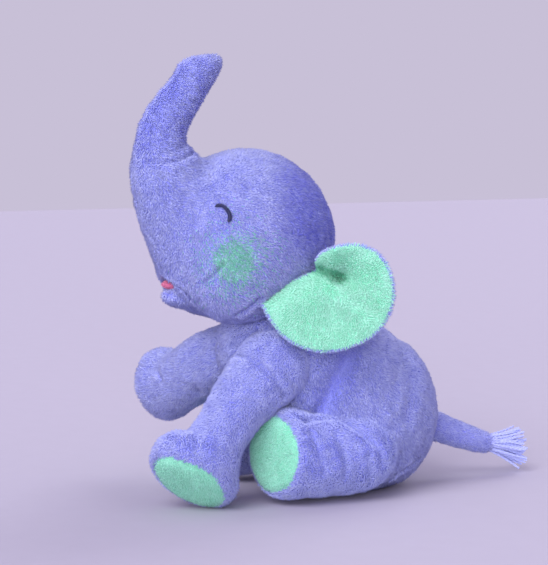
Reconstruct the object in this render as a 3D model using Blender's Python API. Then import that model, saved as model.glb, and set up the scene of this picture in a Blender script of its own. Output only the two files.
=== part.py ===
"""Stuffed elephant, sitting, with its trunk raised: fabric panels, filling and seams' joints.

The toy faces -Y and its own left is +X.  The origin is the centre of the flat seat on the
floor.  Every limb is a stuffed bag with a ball-shaped root in a pocket of the torso, so that
it can swing about the middle of that ball, as cloth and filling let it.
"""
import math

import bmesh
import bpy
from mathutils import Matrix, Vector

MM = 0.001
FABRIC = 1.8 * MM          # plush backing with its pile pressed flat
GAP = 0.3 * MM             # between pieces that are sewn or laid against each other
POCKET = 0.9 * MM          # between a swinging limb and the torso's pocket
POCKET_GRAIN = 3.0 * MM    # points of a pocket nearer than this are one
NECK = Vector((0.0, -50.0, 92.0)) * MM
NECK_TORSO = 44.0 * MM     # the torso's round top under the neck filling
NECK_HEAD = 50.6 * MM      # the hollow under the head, about the same centre
NECK_DISC = 27.0 * MM
TRUNK_PIVOT = Vector((0.0, -133.0, 221.0)) * MM
TRUNK_ROOT = 18.4 * MM
SHOULDER = Vector((34.0, -70.0, 88.0)) * MM
SHOULDER_RADIUS = 19.0 * MM
LEFT_SOLE = Vector((46.0, -132.0, 27.5)) * MM
RIGHT_SOLE = Vector((-101.0, -95.0, 56.0)) * MM
HIP = Vector((42.0, -14.0, 31.0)) * MM
HIP_RADIUS = 21.0 * MM
HIND_SOLE = Vector((48.0, -75.0, 30.5)) * MM
TAIL_PIVOT = Vector((0.0, 62.0, 38.0)) * MM
TAIL_END = Vector((0.0, 101.0, 24.0)) * MM
TUFT_END = Vector((0.0, 126.0, 20.0)) * MM
EAR_FRONT = Vector((55.5, -82.0, 139.0)) * MM
EAR_BACK = Vector((55.5, -46.0, 160.0)) * MM
BEAN_HALF = 17.0 * MM
BEAN_LENGTH = 60.0 * MM
BEAN_MIDDLE = 6.0 * MM
BELLY_HALF = 22.0 * MM
CROWN_HALF = 12.0 * MM

# Torso in level rings: height, front y, back y, half width, all in millimetres.
TORSO_RINGS = (
    (0, -32, 24, 26),
    (5, -46, 38, 40),
    (16, -53, 52, 51),
    (32, -59, 61, 59),
    (50, -67, 62, 61),
    (68, -80, 54, 59),
    (86, -90, 41, 55),
    (102, -93, 25, 49),
    (116, -91, 5, 40),
    (127, -82, -15, 28),
    (134, -71, -32, 14),
)
# Pouch of pellets: height in millimetres and its share of the pouch's full size.
BEAN_RINGS = ((3.2, 0.55), (7.5, 0.85), (18, 1.0), (25, 0.8))
# Head in upright rings: y, lowest z, highest z, half width, in millimetres.
HEAD_RINGS = (
    (-13, 158, 188, 15),
    (-22, 141, 206, 32),
    (-40, 126, 222, 49),
    (-62, 116, 230, 57),
    (-84, 115, 229, 58),
    (-104, 119, 227, 51),
    (-119, 124, 225, 41),
    (-131, 132, 224, 32),
    (-140, 158, 223, 24),
    (-148, 180, 222, 16),
    (-152, 196, 218, 8),
)
# Trunk's centre line: y, z, radius, in millimetres.
TRUNK_LINE = (
    (-134.0, 231.0, 18.4),
    (-133.0, 243.0, 17.2),
    (-128.5, 254.0, 15.8),
    (-121.0, 264.0, 14.6),
    (-113.5, 274.5, 14.2),
    (-108.8, 282.0, 14.2),
    (-106.2, 287.0, 11.5),
)
# One ear seen face on: distances from its middle along its width and its height, in mm.
EAR_OUTLINE = (
    (-41, 2), (-31, 9), (-19, 13.5), (-9, 18), (-6, 26), (5, 33), (16, 35), (27, 32),
    (36, 23.5), (41, 10), (41, -3), (36, -15), (26, -25), (12, -32), (-3, -35),
    (-17, -31), (-28, -23), (-36, -10),
)

EAR_WIDTH_AXIS = Vector((0.417, 0.909, 0.0)).normalized()
EAR_NORMAL = Vector((0.905, -0.415, 0.09)).normalized()
EAR_HEIGHT_AXIS = EAR_NORMAL.cross(EAR_WIDTH_AXIS).normalized()
EAR_CUP = 6.0 * MM
EAR_REACH = 45.0
EAR_CLOTH = 2.2 * MM
BLOCK = 0.3
TORSO_SIDES = 20
HEAD_SIDES = 20
TRUNK_SIDES = 16
LIMB_SIDES = 16
EYE_THREAD = 2.6 * MM
MOUTH_HALF = 9.0 * MM
JAW_HALF = 24.0 * MM
# Outlines in the plane of symmetry: y and z in millimetres.
BELLY_OUTLINE = ((-150, -10), (24, -10), (24, 12), (-25, 40), (-48, 160), (-150, 160))
CROWN_OUTLINE = ((-100, 205), (-100, 250), (20, 250), (20, 130), (-30, 130), (-30, 190), (-40, 205))
TRUNK_OPENING = ((-170, 206), (-170, 250), (-100, 250), (-100, 222.5))
MOUTH_OUTLINE = ((-150, 150), (-118, 142), (-118, 137), (-150, 141))
JAW_OUTLINE = ((-150, 110), (-150, 139), (-117, 138), (-100, 125), (-100, 105))
# The closed eye seen from the side: y and z in millimetres.
EYE_ARC = ((-117.5, 198), (-114, 200.2), (-110, 199.2), (-107.2, 196), (-106.4, 191.5), (-107.4, 187.5))
# Share of a limb's length and the radius there, in metres.
ARM_GIRTHS = ((0.12, 18.6 * MM), (0.35, 17.2 * MM), (0.58, 16.2 * MM), (0.78, 18.0 * MM),
              (0.92, 21.5 * MM), (1.0, 20.5 * MM))
LEG_GIRTHS = ((0.18, 22.5 * MM), (0.42, 26.0 * MM), (0.66, 27.5 * MM), (0.88, 28.5 * MM),
              (1.0, 26.5 * MM))
ARM_FOOT = (19.5 * MM, 22.5 * MM)
LEG_FOOT = (25.0 * MM, 28.0 * MM)
ARM_NORMALS = {"left": Vector((0.12, -0.78, -0.60)), "right": Vector((-0.88, -0.36, -0.30))}
HIND_NORMAL = Vector((0.326, -0.945, 0.05))
# Hinge axis and the angles at which each arm must clear the torso.
ARM_SWINGS = {"left": ("X", (0, -14, -28, -42)), "right": ("Z", (0, 13, 26, 40))}
LEG_SPLAYS = (-4, 8, 20, 32)

COLOURS = {
    "periwinkle": (0.30, 0.31, 0.70),
    "mint": (0.42, 0.83, 0.66),
    "fibre": (0.86, 0.86, 0.84),
    "pellets": (0.70, 0.68, 0.62),
    "pink": (0.66, 0.20, 0.36),
    "navy": (0.012, 0.014, 0.06),
    "yarn": (0.30, 0.34, 0.66),
}


def fabric_material(name):
    """Return the plain Principled material of one cloth or filling."""
    material = bpy.data.materials.get(name)
    if material:
        return material
    material = bpy.data.materials.new(name)
    material.use_nodes = True
    shader = material.node_tree.nodes["Principled BSDF"]
    shader.inputs["Base Color"].default_value = (*COLOURS[name], 1.0)
    shader.inputs["Roughness"].default_value = 0.9
    shader.inputs["Metallic"].default_value = 0.0
    return material


def rings_solid(name, rings, start=None, end=None):
    """Join rings of points into one closed body, with a point or a flat face at each end."""
    form = bmesh.new()
    loops = [[form.verts.new(point) for point in ring] for ring in rings]
    for lower, upper in zip(loops, loops[1:]):
        for index, vertex in enumerate(lower):
            after = (index + 1) % len(lower)
            form.faces.new((vertex, lower[after], upper[after], upper[index]))
    for loop, tip in ((loops[0], start), (loops[-1], end)):
        if tip is None:
            form.faces.new(loop)
            continue
        point = form.verts.new(tip)
        for index, vertex in enumerate(loop):
            form.faces.new((vertex, loop[(index + 1) % len(loop)], point))
    # A cloth's outer and inner faces keep the same triangles, so that they never cross.
    bmesh.ops.triangulate(form, faces=form.faces)
    bmesh.ops.recalc_face_normals(form, faces=form.faces)
    return finished(name, form)


def finished(name, form):
    """Turn a bmesh into an object and return it."""
    mesh = bpy.data.meshes.new(name)
    form.to_mesh(mesh)
    form.free()
    body = bpy.data.objects.new(name, mesh)
    bpy.context.collection.objects.link(body)
    return body


def oval(centre, across, along, count, turn=0.0):
    """Points of an ellipse about a centre, from its two half axes."""
    angles = [turn + math.tau * step / count for step in range(count)]
    return [centre + across * math.cos(angle) + along * math.sin(angle) for angle in angles]


def ball(name, centre, radius, segments=24):
    """A sphere."""
    form = bmesh.new()
    bmesh.ops.create_uvsphere(
        form, u_segments=segments, v_segments=segments // 2, radius=radius,
        matrix=Matrix.Translation(centre),
    )
    return finished(name, form)


def prism(name, outline, low_x, high_x):
    """Extrude an outline of (y, z) points from low_x to high_x."""
    rings = [[Vector((x, y, z)) for y, z in outline] for x in (low_x, high_x)]
    return rings_solid(name, rings)


def grown(body, distance):
    """Copy a body with every face moved outwards by a distance."""
    form = bmesh.new()
    form.from_mesh(body.data)
    form.normal_update()
    shifts = [v.normal * distance * v.calc_shell_factor() for v in form.verts]
    for vertex, shift in zip(form.verts, shifts):
        vertex.co += shift
    return finished(body.name + "_grown", form)


def copied(body, name):
    """Copy a body under a new name."""
    twin = bpy.data.objects.new(name, body.data.copy())
    bpy.context.collection.objects.link(twin)
    return twin


def discard(*bodies):
    """Remove guides that are no longer needed."""
    for body in bodies:
        bpy.data.objects.remove(body)


def cut(body, tool, operation="DIFFERENCE"):
    """Cut a body with a tool, or keep only what lies inside the tool.

    The manifold solver is used because the exact one loses whole panels where a seam runs
    through the edges of earlier cuts in thin cloth.  Every body and tool here is closed.
    """
    modifier = body.modifiers.new("cut", "BOOLEAN")
    modifier.operation = operation
    modifier.solver = "MANIFOLD"
    modifier.object = tool
    depsgraph = bpy.context.evaluated_depsgraph_get()
    result = bpy.data.meshes.new_from_object(body.evaluated_get(depsgraph))
    body.modifiers.clear()
    body.data = result
    return body


def largest_piece(body):
    """Drop the small scraps that a cut leaves, weld its seams and drop its slivers."""
    form = bmesh.new()
    form.from_mesh(body.data)
    bmesh.ops.remove_doubles(form, verts=form.verts, dist=0.00002)
    bmesh.ops.dissolve_degenerate(form, edges=form.edges, dist=0.00002)
    waiting = set(form.verts)
    islands = []
    while waiting:
        island = {waiting.pop()}
        edge_of_search = list(island)
        while edge_of_search:
            vertex = edge_of_search.pop()
            for edge in vertex.link_edges:
                other = edge.other_vert(vertex)
                if other in waiting:
                    waiting.discard(other)
                    island.add(other)
                    edge_of_search.append(other)
        islands.append(island)
    islands.sort(key=len)
    for island in islands[:-1]:
        bmesh.ops.delete(form, geom=list(island), context="VERTS")
    form.to_mesh(body.data)
    form.free()
    return body


def node(body, name, material, hinge=None):
    """Name a finished piece, give it its material and hang it on its hinge."""
    body.name = name
    body.data.name = name
    body.data.materials.clear()
    body.data.materials.append(fabric_material(material))
    body.data.shade_smooth()
    body.data.set_sharp_from_angle(angle=math.radians(40))
    if hinge:
        body.parent = hinge
        body.matrix_parent_inverse = hinge.matrix_world.inverted()
    return body


def hinge_at(name, place, parent=None):
    """An empty on a joint's axis."""
    empty = bpy.data.objects.new(name, None)
    empty.empty_display_size = 0.02
    bpy.context.collection.objects.link(empty)
    empty.location = place
    bpy.context.view_layer.update()
    if parent:
        empty.parent = parent
        empty.matrix_parent_inverse = parent.matrix_world.inverted()
        bpy.context.view_layer.update()
    return empty


def sweep(name, stations, count, start, end):
    """A tube through stations of (centre, half axis across, half axis along)."""
    rings = [oval(centre, across, along, count) for centre, across, along in stations]
    return rings_solid(name, rings, start, end)


def ball_end(centre, direction, across, along, angles):
    """Stations and pole of the round root of a limb, from its pole towards its equator."""
    radius = across.length
    stations = []
    for angle in angles:
        middle = centre - direction * radius * math.cos(angle)
        stations.append((middle, across * math.sin(angle), along * math.sin(angle)))
    return stations, centre - direction * radius


def side_axes(direction, level):
    """Two unit axes square to a direction, the first one as near to level as it can be."""
    across = (level - direction * level.dot(direction)).normalized()
    return across, direction.cross(across).normalized()


def limb(name, root, root_radius, sole, sole_normal, girths, foot):
    """A stuffed limb from its ball-shaped root to its flat sole.

    girths holds (share of the length, radius); foot is the sole's two half axes.
    """
    direction = (sole - root).normalized()
    level = Vector((1.0, 0.0, 0.0)) if abs(direction.x) < 0.7 else Vector((0.0, 1.0, 0.0))
    across, along = side_axes(direction, level)
    stations, pole = ball_end(
        root, direction, across * root_radius, along * root_radius,
        [math.radians(angle) for angle in (32, 62)],
    )
    for share, radius in girths:
        bend = max(0.0, share - 0.5) / 0.5
        facing = direction.lerp(sole_normal, bend).normalized()
        across, along = side_axes(facing, level)
        wide = radius + (foot[0] - radius) * bend ** 3
        tall = radius + (foot[1] - radius) * bend ** 3
        stations.append((root.lerp(sole, share), across * wide, along * tall))
    return sweep(name, stations, LIMB_SIDES, pole, None)


def pocket(body, centre, axis, degrees):
    """The space that a limb takes as it turns about its hinge: one rounded body."""
    form = bmesh.new()
    for angle in degrees:
        turned = grown(body, POCKET)
        turn = Matrix.Rotation(math.radians(angle), 4, axis)
        turned.data.transform(Matrix.Translation(centre) @ turn @ Matrix.Translation(-centre))
        form.from_mesh(turned.data)
        discard(turned)
    bmesh.ops.delete(form, geom=form.edges, context="EDGES_FACES")
    bmesh.ops.remove_doubles(form, verts=form.verts, dist=POCKET_GRAIN)
    hull = bmesh.ops.convex_hull(form, input=form.verts)
    inside = set(hull["geom_interior"]) | set(hull["geom_unused"])
    spare = [item for item in inside if isinstance(item, bmesh.types.BMVert) and item.is_valid]
    bmesh.ops.delete(form, geom=spare, context="VERTS")
    bmesh.ops.recalc_face_normals(form, faces=form.faces)
    return finished(body.name + "_pocket", form)


def beyond(point, normal):
    """A large block that fills everything on one side of a plane."""
    across, along = side_axes(normal, Vector((0.6, 0.0, 0.8)))
    corners = ((-1, -1), (1, -1), (1, 1), (-1, 1))
    rings = []
    for distance in (0.0, BLOCK):
        middle = point + normal * distance
        rings.append([middle + (across * u + along * v) * BLOCK for u, v in corners])
    return rings_solid("block", rings)


def keep_side(body, point, normal):
    """Keep the part of a body on one side of a plane."""
    block = beyond(point, normal)
    cut(body, block, "INTERSECT")
    discard(block)
    return body


def halves(shell, point, normal, names, material, hinge):
    """Split a shell along a flat seam into two panels with a gap between them."""
    for side, name in ((normal, names[0]), (-normal, names[1])):
        panel = keep_side(copied(shell, name), point + side * (GAP / 2), side)
        node(largest_piece(panel), name, material, hinge)


def middle_of(body):
    """The mean of a body's points."""
    points = [vertex.co for vertex in body.data.vertices]
    return sum(points, Vector()) / len(points)


def sewn_limb(name, outer, sole, sole_normal, seam_normal, sides, hinge):
    """Make one limb's two side panels, its mint sole and its filling from its outer shape."""
    shell = copied(outer, "shell")
    hollow = grown(outer, -FABRIC)
    cut(shell, hollow)
    keep_side(shell, sole - sole_normal * (FABRIC + GAP), -sole_normal)
    names = [f"{name}_{side}_panel" for side in sides]
    halves(shell, middle_of(outer), seam_normal, names, "periwinkle", hinge)
    pad = keep_side(copied(outer, "pad"), sole - sole_normal * FABRIC, sole_normal)
    node(largest_piece(pad), f"{name}_sole_pad", "mint", hinge)
    filling = grown(outer, -(FABRIC + GAP))
    keep_side(filling, sole - sole_normal * (FABRIC + 2 * GAP), -sole_normal)
    node(largest_piece(filling), f"{name}_stuffing", "fibre", hinge)
    discard(shell, hollow)


def torso_outer():
    """The outer shape of the torso, with its flat seat and its round top."""
    rings = []
    for height, front, back, half in TORSO_RINGS:
        centre = Vector((0.0, (front + back) / 2, height)) * MM
        rings.append(oval(centre, Vector((half, 0, 0)) * MM,
                          Vector((0, (back - front) / 2, 0)) * MM, TORSO_SIDES, math.pi / 2))
    return rings_solid("torso_outer", rings)


def torso_nodes(outer, tools):
    """Cut the torso's panels and its fillings, with the pockets of everything sewn to it."""
    hollow = grown(outer, -FABRIC)
    shell = cut(copied(outer, "torso_shell"), hollow)
    filling = grown(outer, -(FABRIC + GAP))
    for tool in tools:
        cut(shell, tool)
        cut(filling, tool)
    outline = [(y * MM, z * MM) for y, z in BELLY_OUTLINE]
    belly_space = prism("belly_space", outline, -BELLY_HALF, BELLY_HALF)
    belly_room = grown(belly_space, GAP)
    belly = cut(copied(shell, "belly"), belly_space, "INTERSECT")
    node(largest_piece(belly), "belly_panel", "periwinkle")
    cut(shell, belly_room)
    names = ("torso_left_panel", "torso_right_panel")
    halves(shell, Vector((0, 0, 0)), Vector((1, 0, 0)), names, "periwinkle", None)
    pouch = bean_pouch("bean_bag", BEAN_RINGS)
    room = grown(bean_pouch("room", ((-5, BEAN_RINGS[1][1]), *BEAN_RINGS[1:])), GAP)
    cut(filling, room)
    node(pouch, "bean_bag", "pellets")
    node(largest_piece(filling), "torso_stuffing", "fibre")
    discard(hollow, shell, belly_space, belly_room, room, bpy.data.objects["room"])


def bean_pouch(name, rings):
    """The pouch of pellets in the seat, or the hollow that it lies in, open downwards."""
    loops = [oval(Vector((0, BEAN_MIDDLE, height * MM)), Vector((BEAN_HALF * share, 0, 0)),
                  Vector((0, BEAN_LENGTH / 2 * share, 0)), 16) for height, share in rings]
    return rings_solid(name, loops)


def torso_top_tool():
    """Everything above the torso's round top near the neck."""
    tool = ball("top_tool", NECK, NECK_HEAD + 30 * MM)
    core = ball("core", NECK, NECK_TORSO)
    cut(tool, core)
    keep_side(tool, Vector((0, 0, 118 * MM)), Vector((0, 0, 1)))
    discard(core)
    return tool


def neck_filling(hinge):
    """The round pad of fibre between the torso's top and the hollow under the head."""
    inner = ball("inner", NECK, NECK_TORSO + GAP * 2)
    disc = ball("disc", NECK, NECK_HEAD - GAP * 2)
    cut(disc, inner)
    post = [oval(Vector((0, NECK.y, z * MM)), Vector((NECK_DISC, 0, 0)),
                 Vector((0, NECK_DISC, 0)), 16) for z in (100, 160)]
    column = rings_solid("column", post)
    cut(disc, column, "INTERSECT")
    node(largest_piece(disc), "neck_stuffing", "fibre", hinge)
    discard(inner, column)


def head_outer():
    """The outer shape of the head: a ball whose face runs up into the trunk."""
    rings = []
    for y, low, high, half in HEAD_RINGS:
        centre = Vector((0, y, (low + high) / 2)) * MM
        rings.append(oval(centre, Vector((half, 0, 0)) * MM,
                          Vector((0, 0, (high - low) / 2)) * MM, HEAD_SIDES))
    back = Vector((0, -10.5, 172)) * MM
    front = Vector((0, -153.5, 207)) * MM
    return rings_solid("head_outer", rings, back, front)


def head_nodes(outer, hinge):
    """Cut the head's panels, its mouth and its filling."""
    hollow = grown(outer, -FABRIC)
    shell = cut(copied(outer, "head_shell"), hollow)
    filling = grown(outer, -(FABRIC + GAP))
    neck_room = ball("neck_room", NECK, NECK_HEAD)
    trunk_room = ball("trunk_room", TRUNK_PIVOT, TRUNK_ROOT + 2 * GAP)
    rim = prism("rim", [(y * MM, z * MM) for y, z in TRUNK_OPENING], -0.03, 0.03)
    mouth = prism("mouth", [(y * MM, z * MM) for y, z in MOUTH_OUTLINE], -MOUTH_HALF, MOUTH_HALF)
    for tool in (neck_room, trunk_room, rim, mouth):
        cut(shell, tool)
        cut(filling, tool)
    for name, outline, half in (
        ("crown_gusset", CROWN_OUTLINE, CROWN_HALF),
        ("jaw_panel", JAW_OUTLINE, JAW_HALF),
    ):
        space = prism("space", [(y * MM, z * MM) for y, z in outline], -half, half)
        room = grown(space, GAP)
        panel = cut(copied(shell, name), space, "INTERSECT")
        node(largest_piece(panel), name, "periwinkle", hinge)
        cut(shell, room)
        discard(space, room)
    names = ("head_left_panel", "head_right_panel")
    halves(shell, Vector((0, 0, 0)), Vector((1, 0, 0)), names, "periwinkle", hinge)
    node(largest_piece(filling), "head_stuffing", "fibre", hinge)
    lining = grown(mouth, -GAP)
    cut(lining, outer, "INTERSECT")
    node(largest_piece(lining), "mouth_lining", "pink", hinge)
    discard(hollow, shell, neck_room, trunk_room, rim, mouth)


def trunk_nodes(hinge):
    """The raised trunk: two panels that meet in front and behind, and the filling."""
    line = [(Vector((0, y, z)) * MM, radius * MM) for y, z, radius in TRUNK_LINE]
    direction = (line[0][0] - TRUNK_PIVOT).normalized()
    side = Vector((1, 0, 0))
    stations, pole = ball_end(
        TRUNK_PIVOT, direction, side * TRUNK_ROOT, direction.cross(side) * TRUNK_ROOT,
        [math.radians(angle) for angle in (30, 60, 88)],
    )
    for index, (centre, radius) in enumerate(line):
        before = line[index - 1][0] if index else TRUNK_PIVOT
        after = line[min(index + 1, len(line) - 1)][0]
        along = (after - before).normalized().cross(side)
        stations.append((centre, side * radius, along * radius))
    tip = Vector((0, -105.0, 289.5)) * MM
    outer = sweep("trunk_outer", stations, TRUNK_SIDES, pole, tip)
    hollow = grown(outer, -FABRIC)
    shell = cut(copied(outer, "trunk_shell"), hollow)
    names = ("trunk_left_panel", "trunk_right_panel")
    halves(shell, Vector((0, 0, 0)), side, names, "periwinkle", hinge)
    filling = grown(outer, -(FABRIC + GAP))
    node(largest_piece(filling), "trunk_stuffing", "fibre", hinge)
    discard(outer, hollow, shell)


def ear_point(u, v, depth, sign):
    """A point of an ear, from its place in the ear's outline and its depth from the rim."""
    cup = EAR_CUP * (1.0 - (u * u + v * v) / EAR_REACH ** 2)
    start = EAR_FRONT + EAR_WIDTH_AXIS * (u - EAR_OUTLINE[0][0]) * MM
    place = start + EAR_HEIGHT_AXIS * (v - EAR_OUTLINE[0][1]) * MM
    place = place + EAR_NORMAL * (depth - cup)
    return Vector((place.x * sign, place.y, place.z))


def ear_panel(name, material, near, far, sign, hinge):
    """One cupped panel of an ear between two depths."""
    form = bmesh.new()
    sheets = []
    for depth in (near, far):
        loops = []
        for share in (1.0, 0.66, 0.33):
            loops.append([form.verts.new(ear_point(u * share, v * share, depth, sign))
                          for u, v in EAR_OUTLINE])
        sheets.append((loops, form.verts.new(ear_point(0, 0, depth, sign))))
    count = len(EAR_OUTLINE)
    for loops, centre in sheets:
        for index in range(count):
            after = (index + 1) % count
            for outer, inner in zip(loops, loops[1:]):
                form.faces.new((outer[index], outer[after], inner[after], inner[index]))
            form.faces.new((loops[-1][index], loops[-1][after], centre))
    for index in range(count):
        after = (index + 1) % count
        near_rim, far_rim = sheets[0][0][0], sheets[1][0][0]
        form.faces.new((near_rim[index], near_rim[after], far_rim[after], far_rim[index]))
    bmesh.ops.recalc_face_normals(form, faces=form.faces)
    node(finished(name, form), name, material, hinge)


def tail_nodes(hinge):
    """The tail's tube of fabric and the tuft of yarn sewn into its end."""
    direction = (TAIL_END - TAIL_PIVOT).normalized()
    across, along = side_axes(direction, Vector((1, 0, 0)))
    stations, pole = ball_end(TAIL_PIVOT, direction, across * 9 * MM, along * 9 * MM,
                              [math.radians(angle) for angle in (35, 70)])
    for share, wide, tall in ((0.15, 9.0, 8.6), (0.6, 8.0, 7.2), (0.94, 7.6, 7.0),
                              (1.0, 6.4, 5.8)):
        stations.append((TAIL_PIVOT.lerp(TAIL_END, share), across * wide * MM, along * tall * MM))
    node(sweep("tail_skin", stations, 12, pole, None), "tail_skin", "periwinkle", hinge)
    outward = (TUFT_END - TAIL_END).normalized()
    across, along = side_axes(outward, Vector((1, 0, 0)))
    start = TAIL_END + direction * GAP
    length = (TUFT_END - TAIL_END).length
    stations = []
    for share, wide, tall in ((0.0, 5.2, 4.6), (0.35, 7.4, 5.2), (0.8, 9.6, 6.6), (1.0, 9.2, 6.2)):
        aim = direction.lerp(outward, share).normalized()
        wing, fall = side_axes(aim, Vector((1, 0, 0)))
        centre = start + aim * length * share
        stations.append((centre, wing * wide * MM, fall * tall * MM))
    node(sweep("tail_tuft", stations, 12, None, None), "tail_tuft", "yarn", hinge)


def eye_stitch(name, sign, outer, hinge):
    """One closed eye: a thick arc of satin stitch lying on the head."""
    curve = bpy.data.curves.new(name, "CURVE")
    curve.dimensions = "3D"
    curve.bevel_depth = EYE_THREAD / 2
    curve.bevel_resolution = 1
    curve.use_fill_caps = True
    spline = curve.splines.new("POLY")
    spline.points.add(len(EYE_ARC) - 1)
    for point, (y, z) in zip(spline.points, EYE_ARC):
        start = Vector((sign * 0.1, y * MM, z * MM))
        found, place, normal, _ = outer.ray_cast(start, Vector((-sign, 0, 0)))
        point.co = (*(place + normal * (EYE_THREAD / 2 + GAP)), 1.0)
    guide = bpy.data.objects.new(name + "_guide", curve)
    bpy.context.collection.objects.link(guide)
    depsgraph = bpy.context.evaluated_depsgraph_get()
    mesh = bpy.data.meshes.new_from_object(guide.evaluated_get(depsgraph))
    eye = bpy.data.objects.new(name, mesh)
    bpy.context.collection.objects.link(eye)
    discard(guide)
    node(largest_piece(eye), name, "navy", hinge)


def main():
    """Build every piece of the toy."""
    for old in list(bpy.data.objects):
        bpy.data.objects.remove(old)
    neck = hinge_at("neck_turn_axis", NECK)
    nod = hinge_at("neck_nod_axis", NECK, neck)
    trunk_hinge = hinge_at("trunk_axis", TRUNK_PIVOT, nod)
    tail_hinge = hinge_at("tail_axis", TAIL_PIVOT)
    tools = []
    limbs = []
    for side, sign in (("left", 1.0), ("right", -1.0)):
        flip = Vector((sign, 1.0, 1.0))
        root = SHOULDER * flip
        sole = LEFT_SOLE if sign > 0 else RIGHT_SOLE
        normal = ARM_NORMALS[side].normalized()
        outer = limb(f"{side}_arm", root, SHOULDER_RADIUS, sole, normal, ARM_GIRTHS, ARM_FOOT)
        limbs.append((f"{side}_arm", outer, sole, normal, ("outer", "inner"), root))
        tools.append(pocket(outer, root, *ARM_SWINGS[side]))
        root = HIP * flip
        sole = HIND_SOLE * flip
        normal = (HIND_NORMAL * flip).normalized()
        outer = limb(f"{side}_leg", root, HIP_RADIUS, sole, normal, LEG_GIRTHS, LEG_FOOT)
        limbs.append((f"{side}_leg", outer, sole, normal, ("outer", "inner"), root))
        splays = [angle * sign for angle in LEG_SPLAYS]
        tools.append(pocket(outer, root, "Z", splays))
    tools.append(ball("tail_room", TAIL_PIVOT, 9 * MM + POCKET, 16))
    tools.append(torso_top_tool())
    outer = torso_outer()
    torso_nodes(outer, tools)
    discard(outer, *tools)
    for name, outer, sole, normal, sides, root in limbs:
        hinge = hinge_at(f"{name}_axis", root)
        seam = side_axes(normal, Vector((1.0, 0.0, 0.0)))[0]
        sewn_limb(name, outer, sole, normal, seam, sides, hinge)
        discard(outer)
    neck_filling(neck)
    outer = head_outer()
    head_nodes(outer, nod)
    for side, sign in (("left", 1.0), ("right", -1.0)):
        eye_stitch(f"{side}_eye_stitch", sign, outer, nod)
        hinge = hinge_at(f"{side}_ear_axis", EAR_FRONT * Vector((sign, 1, 1)), nod)
        ear_panel(f"{side}_ear_inner_panel", "mint", 0.0, EAR_CLOTH, sign, hinge)
        ear_panel(f"{side}_ear_back_panel", "periwinkle", -GAP - EAR_CLOTH, -GAP, sign, hinge)
    discard(outer)
    trunk_nodes(trunk_hinge)
    tail_nodes(tail_hinge)


main()
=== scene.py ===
"""Looks of a stuffed elephant that sits with its trunk raised.

Every stuffed part is a skin of short-pile plush that is shaped from a smooth field, creased
along its seams and folds, and covered with pile by a Geometry Nodes tree.  The ears are two
cloths sewn together.  The frame gives the bodies and joints; this script only dresses them.
"""
from __future__ import annotations

import itertools
import logging
import math
from dataclasses import dataclass, field, replace
from enum import Enum
from functools import cache
from typing import Callable, Sequence

import bmesh
import bpy
import numpy as np
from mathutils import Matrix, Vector
from mathutils.kdtree import KDTree


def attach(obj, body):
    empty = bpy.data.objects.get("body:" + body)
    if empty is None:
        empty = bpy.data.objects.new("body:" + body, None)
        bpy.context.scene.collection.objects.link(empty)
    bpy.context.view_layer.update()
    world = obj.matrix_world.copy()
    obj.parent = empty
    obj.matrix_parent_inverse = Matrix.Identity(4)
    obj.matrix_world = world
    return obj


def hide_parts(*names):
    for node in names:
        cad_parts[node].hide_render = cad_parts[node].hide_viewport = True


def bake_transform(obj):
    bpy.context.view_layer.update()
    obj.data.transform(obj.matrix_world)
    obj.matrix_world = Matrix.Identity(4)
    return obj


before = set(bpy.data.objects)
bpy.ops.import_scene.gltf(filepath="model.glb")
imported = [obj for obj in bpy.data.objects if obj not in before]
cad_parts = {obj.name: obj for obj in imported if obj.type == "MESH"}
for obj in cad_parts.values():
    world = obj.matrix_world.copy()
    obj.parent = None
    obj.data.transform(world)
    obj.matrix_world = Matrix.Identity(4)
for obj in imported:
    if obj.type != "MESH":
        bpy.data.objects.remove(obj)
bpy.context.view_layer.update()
LOG = logging.getLogger("stuffed_elephant")
MM = 0.001
Field = Callable[[np.ndarray], np.ndarray]


class Cloth(Enum):
    """The cloths that the toy is cut from."""

    PERIWINKLE = "periwinkle"
    MINT = "mint"
    PINK = "pink"
    BLUSH = "green_airbrushed"
    FIBRE = "white_fibre"


def linear(hex_colour: str) -> tuple[float, float, float, float]:
    """Turn an sRGB hex colour into linear RGBA.

    Args:
        hex_colour: Six hex digits, with or without a leading hash.

    Returns:
        Linear red, green and blue, with an alpha of one.
    """
    digits = hex_colour.lstrip("#")
    parts = [int(digits[start:start + 2], 16) / 255 for start in (0, 2, 4)]
    straight = [c / 12.92 if c <= 0.04045 else ((c + 0.055) / 1.055) ** 2.4 for c in parts]
    return (*straight, 1.0)


def link_object(name: str, data: bpy.types.ID) -> bpy.types.Object:
    """Make an object from its data and put it in the scene, at the origin.

    Args:
        name: The object's name.
        data: Its mesh, camera or light.

    Returns:
        The new object.
    """
    made = bpy.data.objects.new(name, data)
    bpy.context.collection.objects.link(made)
    return made


def add_node(tree: bpy.types.NodeTree, kind: str, links: dict | None = None,
             inputs: dict | None = None, **settings: object) -> bpy.types.Node:
    """Add one node to a tree with its settings, values and links.

    Args:
        tree: The tree that the node goes into.
        kind: The node's Blender type.
        links: Input name or number to the output socket that feeds it.
        inputs: Input name or number to its value.
        settings: Properties of the node itself.

    Returns:
        The new node.
    """
    made = tree.nodes.new(kind)
    for name, value in settings.items():
        setattr(made, name, value)
    for key, value in (inputs or {}).items():
        made.inputs[key].default_value = value
    for key, socket in (links or {}).items():
        tree.links.new(socket, made.inputs[key])
    return made


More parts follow.
